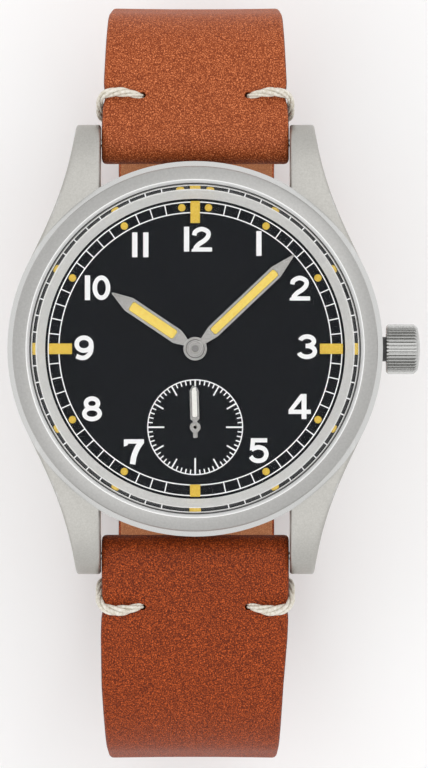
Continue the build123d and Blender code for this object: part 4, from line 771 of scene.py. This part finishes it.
def folded(place):
    """Cuts through the folded end as (inner, outer) points, from the thin end round the bar."""
    def low(u):
        if u < thick_at:
            return -fold_r + (fold_r - thick_low) * u / thick_at
        return -thick_low + (u - thick_at) * (thick_low - thin_low) / (thin_at - thick_at)

    def hole(turn):
        return fold_hole_r * cos(radians(turn)), fold_hole_r * sin(radians(turn))

    cuts = [((u, under_seam), (u, low(u))) for u in under_us]
    for turn in (-45, -60, -75):
        u = (turn + 90) / shoulder_turn * waist
        cuts.append((hole(turn), (u, low(u))))
    for turn in range(-90, -271, -15):
        cuts.append((hole(turn), (fold_r * cos(radians(turn)), fold_r * sin(radians(turn)))))
    for turn in (75, 60, 45):
        cuts.append((hole(turn), ((90 - turn) / shoulder_turn * waist, fold_r)))
    u = upper_from
    while u < upper_to:
        cuts.append(((u, fold_seam), (u, fold_r)))
        u += upper_step
    return [(place(*inner), place(*outer)) for inner, outer in cuts]


def routed(route, radii, side, step=0.6):
    """Cuts square to a route of straight runs and arcs, whose points lie on the inner face."""
    def cut(x, y, heading):
        return (x, y), (x - side * strap_t * sin(heading), y + side * strap_t * cos(heading))

    cuts, (x, y) = [], route[0]
    for i, corner in enumerate(route[1:]):
        heading = atan2(corner[1] - y, corner[0] - x)
        reach, turn = hypot(corner[0] - x, corner[1] - y), 0
        if i < len(radii):
            after = route[i + 2]
            turn = atan2(after[1] - corner[1], after[0] - corner[0]) - heading
            turn = (turn + pi) % (2 * pi) - pi
            reach -= radii[i] * tan(abs(turn) / 2)
        steps = max(round(reach / step), 1)
        for n in range(steps):
            gone_x, gone_y = cos(heading) * reach * n / steps, sin(heading) * reach * n / steps
            cuts.append(cut(x + gone_x, y + gone_y, heading))
        x, y = x + cos(heading) * reach, y + sin(heading) * reach
        if turn:
            way, r = (1 if turn > 0 else -1), radii[i]
            middle_x, middle_y = x - way * r * sin(heading), y + way * r * cos(heading)
            steps = max(round(abs(turn) * r / step), 4)
            for n in range(steps + 1):
                a = heading + turn * n / steps
                x, y = middle_x + way * r * sin(a), middle_y - way * r * cos(a)
                if n < steps:
                    cuts.append(cut(x, y, a))
    return cuts


def section(half, thick, across=16, corner=3, thick_share=0.42, half_share=0.9):
    """Points round a cut through leather: (across, share of thickness), with rounded corners."""
    r = min(strap_round, thick * thick_share, half * half_share)
    flat = half - r
    points = [(-flat + 2 * flat * i / across, 1.0) for i in range(across)]
    for side, start in ((1, 90), (1, 0), (-1, -90), (-1, -180)):
        if start == -90:
            points += [(flat - 2 * flat * i / across, 0.0) for i in range(across)]
        centre = 1 - r / thick if start in (90, -180) else r / thick
        for i in range(corner + 1):
            a = radians(start - 90 * i / corner)
            points.append((side * flat + r * cos(a), centre + r / thick * sin(a)))
    return points


def leather_strip(name, cuts, place, closed=False, across=16, weld=0.001):
    """Wrap a grid round a run of (inner, outer, half width) cuts."""
    around = len(section(1, 1, across))
    clear()
    bpy.ops.mesh.primitive_grid_add(x_subdivisions=len(cuts) - 1, y_subdivisions=around, size=1)
    piece = take(bpy.context.object)
    piece.name = name
    for vertex in piece.data.vertices:
        i = round((vertex.co.x + 0.5) * (len(cuts) - 1))
        j = round((vertex.co.y + 0.5) * around) % around
        (a, b), (c, d), half = cuts[i]
        thick = hypot(c - a, d - b)
        x, share = section(half, thick, across)[j]
        vertex.co = Vector(place(a + (c - a) * share, b + (d - b) * share, x)) * MM
    bpy.ops.object.mode_set(mode="EDIT")
    bpy.ops.mesh.select_all(action="SELECT")
    bpy.ops.mesh.remove_doubles(threshold=weld * MM)
    if not closed:
        bpy.ops.mesh.select_all(action="DESELECT")
        bpy.ops.mesh.select_non_manifold(extend=False, use_wire=False, use_multi_face=False,
                                         use_non_contiguous=False, use_verts=False)
        bpy.ops.mesh.fill()
        bpy.ops.mesh.select_all(action="SELECT")
    bpy.ops.mesh.normals_make_consistent(inside=False)
    bpy.ops.object.mode_set(mode="OBJECT")
    smooth(piece, angle=50)
    return piece


def ramp(value, start, length):
    """A share that grows from 0 to 1 over a length past a start."""
    return min(max((value - start) / length, 0), 1)


def with_width(cuts, taper_from):
    """Cuts with half the strap's width added: it narrows past a distance along Y, and round the tail."""
    wide, narrowest = [], strap_top_w / 2
    for inner, outer in cuts:
        if outer[1] > 0 and abs(outer[0]) < bar_y:
            narrowest = strap_top_w / 2
        narrowest = min(narrowest, strap_top_w / 2 - taper * max(0, abs(outer[0]) - taper_from))
        half = narrowest + (strap_low_w / 2 - narrowest) * ramp(inner[1], 0, strap_floor)
        along = outer[0] - (tail_end - tail_r)
        if along > 0 and outer[1] < strap_floor - 2 * strap_t:
            half = min(half, (tail_r**2 - min(along, tail_r * tail_tip) ** 2) ** 0.5)
        wide.append((inner, outer, half))
    return wide


def punch(piece, cutter):
    """Cut one closed shape out of another and drop the cutter."""
    apply_modifier(piece, "BOOLEAN", operation="DIFFERENCE", solver="EXACT", object=cutter)
    bpy.data.objects.remove(cutter)


def peg(r, length, at, lean=0.0, stretch=1.0):
    """A round punch, leaned about X and stretched along Y."""
    clear()
    bpy.ops.mesh.primitive_cylinder_add(vertices=24, radius=r * MM, depth=length * MM)
    punch_tool = take(bpy.context.object)
    turn, shape = Matrix.Rotation(lean, 4, "X"), Matrix.Diagonal((1, stretch, 1, 1))
    punch_tool.data.transform(Matrix.Translation([v * MM for v in at]) @ turn @ shape)
    return punch_tool


def leaned(start, y):
    """The point at a distance along Y on the straight run that leaves the lugs."""
    return (y, start[1] - abs(y - start[0]) * tan(lug_lean))


fold_end = fold_len - seam_lap
short_start, long_start = lug_fold(1)(fold_end, fold_seam), lug_fold(-1)(fold_end, fold_seam)
tail_start, tail_z = tail_end - tail_r, strap_floor - strap_t - layer_gap
short_route = [
    short_start, leaned(short_start, 30.9), (33.1, -18.0), (25.0, strap_floor),
    (buckle_y + fold_end, strap_floor),
]
short_bends = (5.6, 25.0, 10.0)
long_route = [
    long_start, leaned(long_start, -36.75), (-39.95, -19.0), (-29.5, strap_floor), (-17.5, strap_floor),
    (buckle_y - fold_r, tail_z), (tail_start, tail_z),
]
long_bends = (9.0, 22.0, 12.0, 8.0, 8.0)
tail_ys = [tail_start + tail_r * sin(radians(a)) for a in range(0, 86, 5)] + [tail_end - tip_gap]
tail_cuts = [((y, tail_z), (y, tail_z - strap_t)) for y in tail_ys]
short_cuts = folded(lug_fold(1)) + routed(short_route, short_bends, 1) + folded(buckle_fold)[::-1]
long_cuts = folded(lug_fold(-1)) + routed(long_route, long_bends, -1) + tail_cuts

tan_leather = blank_material("tan_leather", color=(0.38, 0.09, 0.026), roughness=0.55)
# The long strap has the same tan leather painted darker: painted shade on the lower strap.
tan_leather_painted_shade = blank_material("tan_leather_painted_shade", color=(0.28, 0.055, 0.013), roughness=0.55)
dark_edge = blank_material("dark_leather_edge", color=(0.12, 0.025, 0.008), roughness=0.5)
flesh_side = blank_material("flesh_side", color=(0.42, 0.17, 0.075), roughness=0.8)
pebble_size, pebble_edge, wander_size, wander, pebble_shade_share = 0.2, 0.22, 0.5, 0.3, 0.22
for leather, dark, middle, light in (
    (tan_leather, (0.19, 0.033, 0.007), (0.37, 0.083, 0.021), (0.76, 0.235, 0.09)),
    (tan_leather_painted_shade, (0.1, 0.0125, 0.0018), (0.265, 0.042, 0.005), (0.58, 0.105, 0.02)),
    (dark_edge, (0.08, 0.015, 0.005), (0.12, 0.025, 0.008), (0.17, 0.038, 0.013)),
    (flesh_side, (0.34, 0.13, 0.055), (0.42, 0.17, 0.075), (0.5, 0.22, 0.1)),
):
    tuned(leather, Specular_IOR_Level=0.18)
    leather_place = node(leather, "ShaderNodeTexCoord")
    crooked = node(leather, "ShaderNodeTexNoise", Scale=1 / (wander_size * MM), Detail=2.0)
    shift = node(leather, "ShaderNodeVectorMath")
    shift.operation = "MULTIPLY_ADD"
    shift.inputs[1].default_value = [wander * MM] * 3
    wire(leather, leather_place.outputs["Object"], crooked.inputs["Vector"])
    wire(leather, crooked.outputs["Color"], shift.inputs[0])
    wire(leather, leather_place.outputs["Object"], shift.inputs[2])
    # Colour runs dark in the crevices between pebbles and light on their tops: painted shade and painted
    # highlight in the grain, added to a random mottle.
    pebbles = node(leather, "ShaderNodeTexVoronoi", Scale=1 / (pebble_size * MM))
    pebbles.feature = "DISTANCE_TO_EDGE"
    wire(leather, shift.outputs["Vector"], pebbles.inputs["Vector"])
    painted_pebble_shade = node(leather, "ShaderNodeMapRange", From_Max=pebble_edge)
    wire(leather, pebbles.outputs["Distance"], painted_pebble_shade.inputs["Value"])
    shade_and_mottle = node(leather, "ShaderNodeMath")
    shade_and_mottle.operation = "MULTIPLY_ADD"
    shade_and_mottle.inputs[1].default_value = pebble_shade_share
    wire(leather, painted_pebble_shade.outputs["Result"], shade_and_mottle.inputs[0])
    wire(leather, noise(leather, size=0.14, detail=3.0), shade_and_mottle.inputs[2])
    tinted(leather, shade_and_mottle.outputs["Value"], dark=dark, light=light, low=0.5, high=0.84, middle=middle)
    grain(leather, shade_and_mottle.outputs["Value"], distance=0.06, strength=0.8)
    spread(leather, shade_and_mottle.outputs["Value"], "Roughness", low=0.68, high=0.5)

hole_r, hole_x, hole_w, short_hole_u, long_hole_u = 0.32, 5.15, 1.6, 4.4, 4.75
press_past, press_z, press_reach, press_from, press_fade, press_depth = 11, -6, 1.3, 4.6, 1.2, 0.16
pinch_from, pinch = 8.6, 0.2
hollow_from, hollow_fade, hollow_z, hollow_z_fade, hollow_depth, hollow_w = 7, 6, -30, 12, 0.09, 9
skew, skew_from, skew_fade, skew_z, skew_z_fade = 0.28, 25, 8, -32, 16
eyelet_r, eyelet_y, eyelet_gap, eyelets = 0.85, -9.65, 6.5, (-2, -1, 1, 2, 3)
tongue_z, tongue_stretch = -38, 3.2  # the eyelet that the tongue goes through
slit_r, slit_y, slit_stretch = 1.4, -6.6, 2.3
loop_z, side_x, lug_end_z, buckle_end_z = -18, 7.4, -1.5, -30
side_on, inner_on, face_on = 0.8, 0.3, 0.5  # how far a normal points sideways or inwards


def shaped(strap, outward, hole_u):
    """Press the leather in round the threads, hollow its length a little and let the long strap run askew."""
    for vertex in strap.data.vertices:
        x, y, z = vertex.co / MM
        past = (abs(y) - bar_y) * cos(lug_lean) - (z - bar_z) * sin(lug_lean)
        above = (abs(y) - bar_y) * sin(lug_lean) + (z - bar_z) * cos(lug_lean)
        if past < press_past and z > press_z:
            near = max(0, 1 - ((past - hole_u) / press_reach) ** 2) ** 2
            if above > 0:
                vertex.co.z -= press_depth * near * ramp(abs(x), press_from, press_fade) * MM
            if abs(x) > pinch_from:
                vertex.co.x -= pinch * near * (1 if x > 0 else -1) * MM
        hollow = ramp(past, hollow_from, hollow_fade) * ramp(z, hollow_z, hollow_z_fade)
        vertex.co.y -= outward * hollow_depth * hollow * (1 - (x / hollow_w) ** 2) * MM
        if outward < 0:
            vertex.co.x -= skew * ramp(-y, skew_from, skew_fade) * ramp(z, skew_z, skew_z_fade) * MM


for name, cuts, outward, cad, leather, taper_from, hole_u in (
    ("short_strap", short_cuts, 1, "strap_12_side", tan_leather, short_taper_from, short_hole_u),
    ("long_strap", long_cuts, -1, "strap_6_side", tan_leather_painted_shade, long_taper_from, long_hole_u),
):
    strap = leather_strip(name, with_width(cuts, taper_from), lambda y, z, x: (x, y, z))
    shaped(strap, outward, hole_u)
    for side in (-1, 1):
        hole_at = (side * hole_x, *lug_fold(outward)(hole_u, hole_w))
        punch(strap, peg(r=hole_r, length=2.6, at=hole_at, lean=-outward * lug_lean))
    if outward < 0:
        for place in eyelets:
            punch(strap, peg(r=eyelet_r, length=6, at=(0, eyelet_y + place * eyelet_gap, tail_z - 1)))
        punch(strap, peg(r=eyelet_r, length=12, at=(0, eyelet_y, tongue_z), stretch=tongue_stretch))
    else:
        punch(strap, peg(r=slit_r, length=9, at=(0, slit_y, buckle_z), stretch=slit_stretch))
    smooth(strap, angle=50)
    fit(strap, "case", [cad], leather, dark_edge, flesh_side)
    for face in strap.data.polygons:
        y, z = face.center.y / MM, face.center.z / MM
        inward = (-y * face.normal.y + (loop_z - z) * face.normal.z) / hypot(y, loop_z - z)
        lug_end = z > lug_end_z and abs(y) < bar_y + fold_len
        buckle_end = outward > 0 and z < buckle_end_z and y < buckle_y + fold_len
        if abs(face.normal.x) > side_on and abs(face.center.x) / MM > side_x:
            face.material_index = 1
        elif inward > inner_on and abs(face.normal.x) < face_on and not lug_end and not buckle_end:
            face.material_index = 2

# Stitches
# Waxed cream thread of four loosely twisted strands closes each fold beside the lugs.
# It comes up through a hole, turns over the strap's edge and runs back under the fold.
waxed_thread = blank_material("waxed_thread", color=(0.78, 0.73, 0.62), roughness=0.6)
fibres = noise(waxed_thread, size=0.07, detail=3.0, stretch=(1, 3, 3))
grain(waxed_thread, fibres, distance=0.02, strength=0.6)
tinted(waxed_thread, noise(waxed_thread, size=0.3, detail=4.0), dark=(0.54, 0.485, 0.38),
       light=(0.78, 0.745, 0.665), high=0.6)
strand_r, twist_r, twist_pitch = 0.2, 0.29, 5.4
thread_under = 2.8
end_size, swell, waist_share, waist_from, waist_fade = 0.4, 0.19, 0.26, 3.6, 2.2
thread_course = [  # along and above the fold, and across the strap
    (4.35, 0.8, 5.15), (4.35, 1.7, 5.3), (4.4, 2.15, 5.8), (4.58, 2.34, 6.8), (4.62, 2.36, 7.9),
    (4.45, 2.16, 8.8), (4.1, 1.6, 9.27), (3.6, 0.7, 9.36), (3.1, -0.4, 9.36), (2.85, -1.4, 9.2),
    (thread_under, -2.0, 8.7), (thread_under, -2.05, 7.9), (thread_under, -1.7, 7.2),
]


def strand(name, points, sizes):
    """A thread of round section along a line, thicker and thinner as its sizes say."""
    curve = bpy.data.curves.new(name, "CURVE")
    curve.dimensions = "3D"
    curve.bevel_depth = strand_r * MM
    curve.bevel_resolution = 3
    curve.use_fill_caps = True
    spline = curve.splines.new("POLY")
    spline.points.add(len(points) - 1)
    for target, point, size in zip(spline.points, points, sizes):
        target.co = (*(v * MM for v in point), 1)
        target.radius = size
    piece = bpy.data.objects.new(name, curve)
    bpy.context.scene.collection.objects.link(piece)
    take(piece)
    bpy.ops.object.convert(target="MESH")
    smooth(piece, angle=60)
    return piece


threads = []
for outward, spread_out, fullness in ((1, 1.0, 1.0), (-1, 1.22, 1.12)):
    place = lug_fold(outward)
    for side in (-1, 1):
        spots = []
        for u, w, x in flow(thread_course, steps=6):
            spots.append(Vector((side * x, *place(thread_under + (u - thread_under) * spread_out, w))))
        across, run, sizes, twists = Vector((0, 1, 0)), 0.0, [], [[], [], [], []]
        for i, spot in enumerate(spots):
            before, after = spots[max(i - 1, 0)], spots[min(i + 1, len(spots) - 1)]
            along = (after - before).normalized()
            across = (across - along * across.dot(along)).normalized()
            run += (spot - before).length
            drawn_in = 1 - waist_share * ramp(run, waist_from, waist_fade)
            sizes.append(min(1, end_size + run * swell) * drawn_in * fullness)
            for n, twist in enumerate(twists):
                a = 2 * pi * (run / twist_pitch + n / len(twists)) * side * outward
                twist.append(spot + (across * cos(a) + along.cross(across) * sin(a)) * twist_r * sizes[-1])
        threads += [strand("strand", twist, sizes) for twist in twists]
stitches = joined("strap_threads", threads)
fit(stitches, "case", ["strap_stitches"], waxed_thread)

# Keepers
# Bands of the same leather, closed into rings round both layers of the strap.
# One is sewn fast by the buckle, and the other slides along the strap.
keeper_half, keeper_low, keeper_high, keeper_w, keeper_t = 8.22, -40.22, -35.88, 4.6, 1.2
bend_r, bend_step = 0.5, 15
bend_x, low_bend, high_bend = keeper_half - bend_r, keeper_low + bend_r, keeper_high - bend_r
for name, body, cad, start_y in (
    ("sewn_keeper", "case", "fixed_keeper", 2.1), ("sliding_keeper", "free_keeper", "free_keeper", 9.6),
):
    cuts = []
    for x, z, start in (
        (bend_x, high_bend, 0), (-bend_x, high_bend, 90), (-bend_x, low_bend, 180), (bend_x, low_bend, 270),
    ):
        for turn in range(start, start + 91, bend_step):
            a, outer_r = radians(turn), bend_r + keeper_t
            inner = (x + bend_r * cos(a), z + bend_r * sin(a))
            cuts.append((inner, (x + outer_r * cos(a), z + outer_r * sin(a)), keeper_w / 2))
    cuts.append(cuts[0])
    middle = start_y + keeper_w / 2
    keeper = leather_strip(name, cuts, lambda x, z, a: (x, middle + a, z), closed=True, across=6)
    fit(keeper, body, [cad], tan_leather, dark_edge)
    for face in keeper.data.polygons:
        if abs(face.normal.y) > side_on:
            face.material_index = 1

# Buckle
# A steel frame with a plain bar riveted in, and a tongue bent round that bar.
# Both are brushed satin, with soft edges.
satin_steel = blank_material("satin_steel", color=(0.56, 0.56, 0.55), metallic=1.0, roughness=0.28)
spread(satin_steel, noise(satin_steel, size=0.4), "Roughness", low=0.22, high=0.36)
brushed_lines = noise(satin_steel, size=0.12, detail=2.0, stretch=(1, 6, 6))
grain(satin_steel, brushed_lines, distance=0.01, strength=0.4)
for cad, name, body, edge in (
    ("buckle_frame", "buckle", "case", 0.3), ("buckle_tongue", "buckle_pin", "tongue", 0.12),
):
    metal = copied(cad, name)
    soften(metal, edge, corner=40, segments=3)
    smooth(metal, angle=30)
    fit(metal, body, [cad], satin_steel)
dressed(["bar_pin_12_left", "bar_pin_12_right", "bar_pin_6_left", "bar_pin_6_right", "strap_bars"],
        polished_steel)

# Studio
# A pale matt floor under the watch, a soft overhead light and even light all round.
# The camera looks down on the dial from far away, as a long lens would.
floor_size = 4
clear()
bpy.ops.mesh.primitive_plane_add(size=floor_size, location=(0, 0, cad_box[0][2]))
floor = take(bpy.context.object)
floor.name = "floor"
bpy.ops.object.transform_apply(location=True)
floor.data.materials.append(blank_material("pale_floor", color=(0.92, 0.92, 0.92), roughness=0.9))

world = bpy.data.worlds.new("soft_room")
bpy.context.scene.world = world
world.use_nodes = True
room_light = world.node_tree.nodes["Background"]
room_light.inputs["Color"].default_value = (1, 1, 1, 1)
room_light.inputs["Strength"].default_value = 1.0


def softbox(name, width, length, at, aim, power):
    """A long soft lamp that looks at a point."""
    lamp = bpy.data.lights.new(name, "AREA")
    lamp.shape = "RECTANGLE"
    lamp.size, lamp.size_y = width, length
    lamp.energy = power
    piece = bpy.data.objects.new(name, lamp)
    bpy.context.scene.collection.objects.link(piece)
    piece.location = at
    piece.rotation_euler = (Vector(aim) - Vector(at)).to_track_quat("-Z", "Y").to_euler()


softbox("overhead_softbox", width=0.7, length=2.4, at=(0.04, 0.05, 0.9), aim=(0, 0, 0), power=3.2)

lens_distance, seen_height, tilt = 600.0, 74.7, radians(0.4)
look_at = Vector((1.83, -3.42, 6.3))
camera_data = bpy.data.cameras.new("camera")
camera_data.sensor_fit = "VERTICAL"
camera_data.angle = 2 * atan2(seen_height / 2, lens_distance)
camera_data.clip_start = 0.01
camera = bpy.data.objects.new("camera", camera_data)
bpy.context.scene.collection.objects.link(camera)
camera.location = (look_at + lens_distance * Vector((0, -sin(tilt), cos(tilt)))) * MM
camera.rotation_euler = (tilt, 0, 0)
bpy.context.scene.camera = camera
bpy.context.scene.view_settings.view_transform = "Standard"

clear()
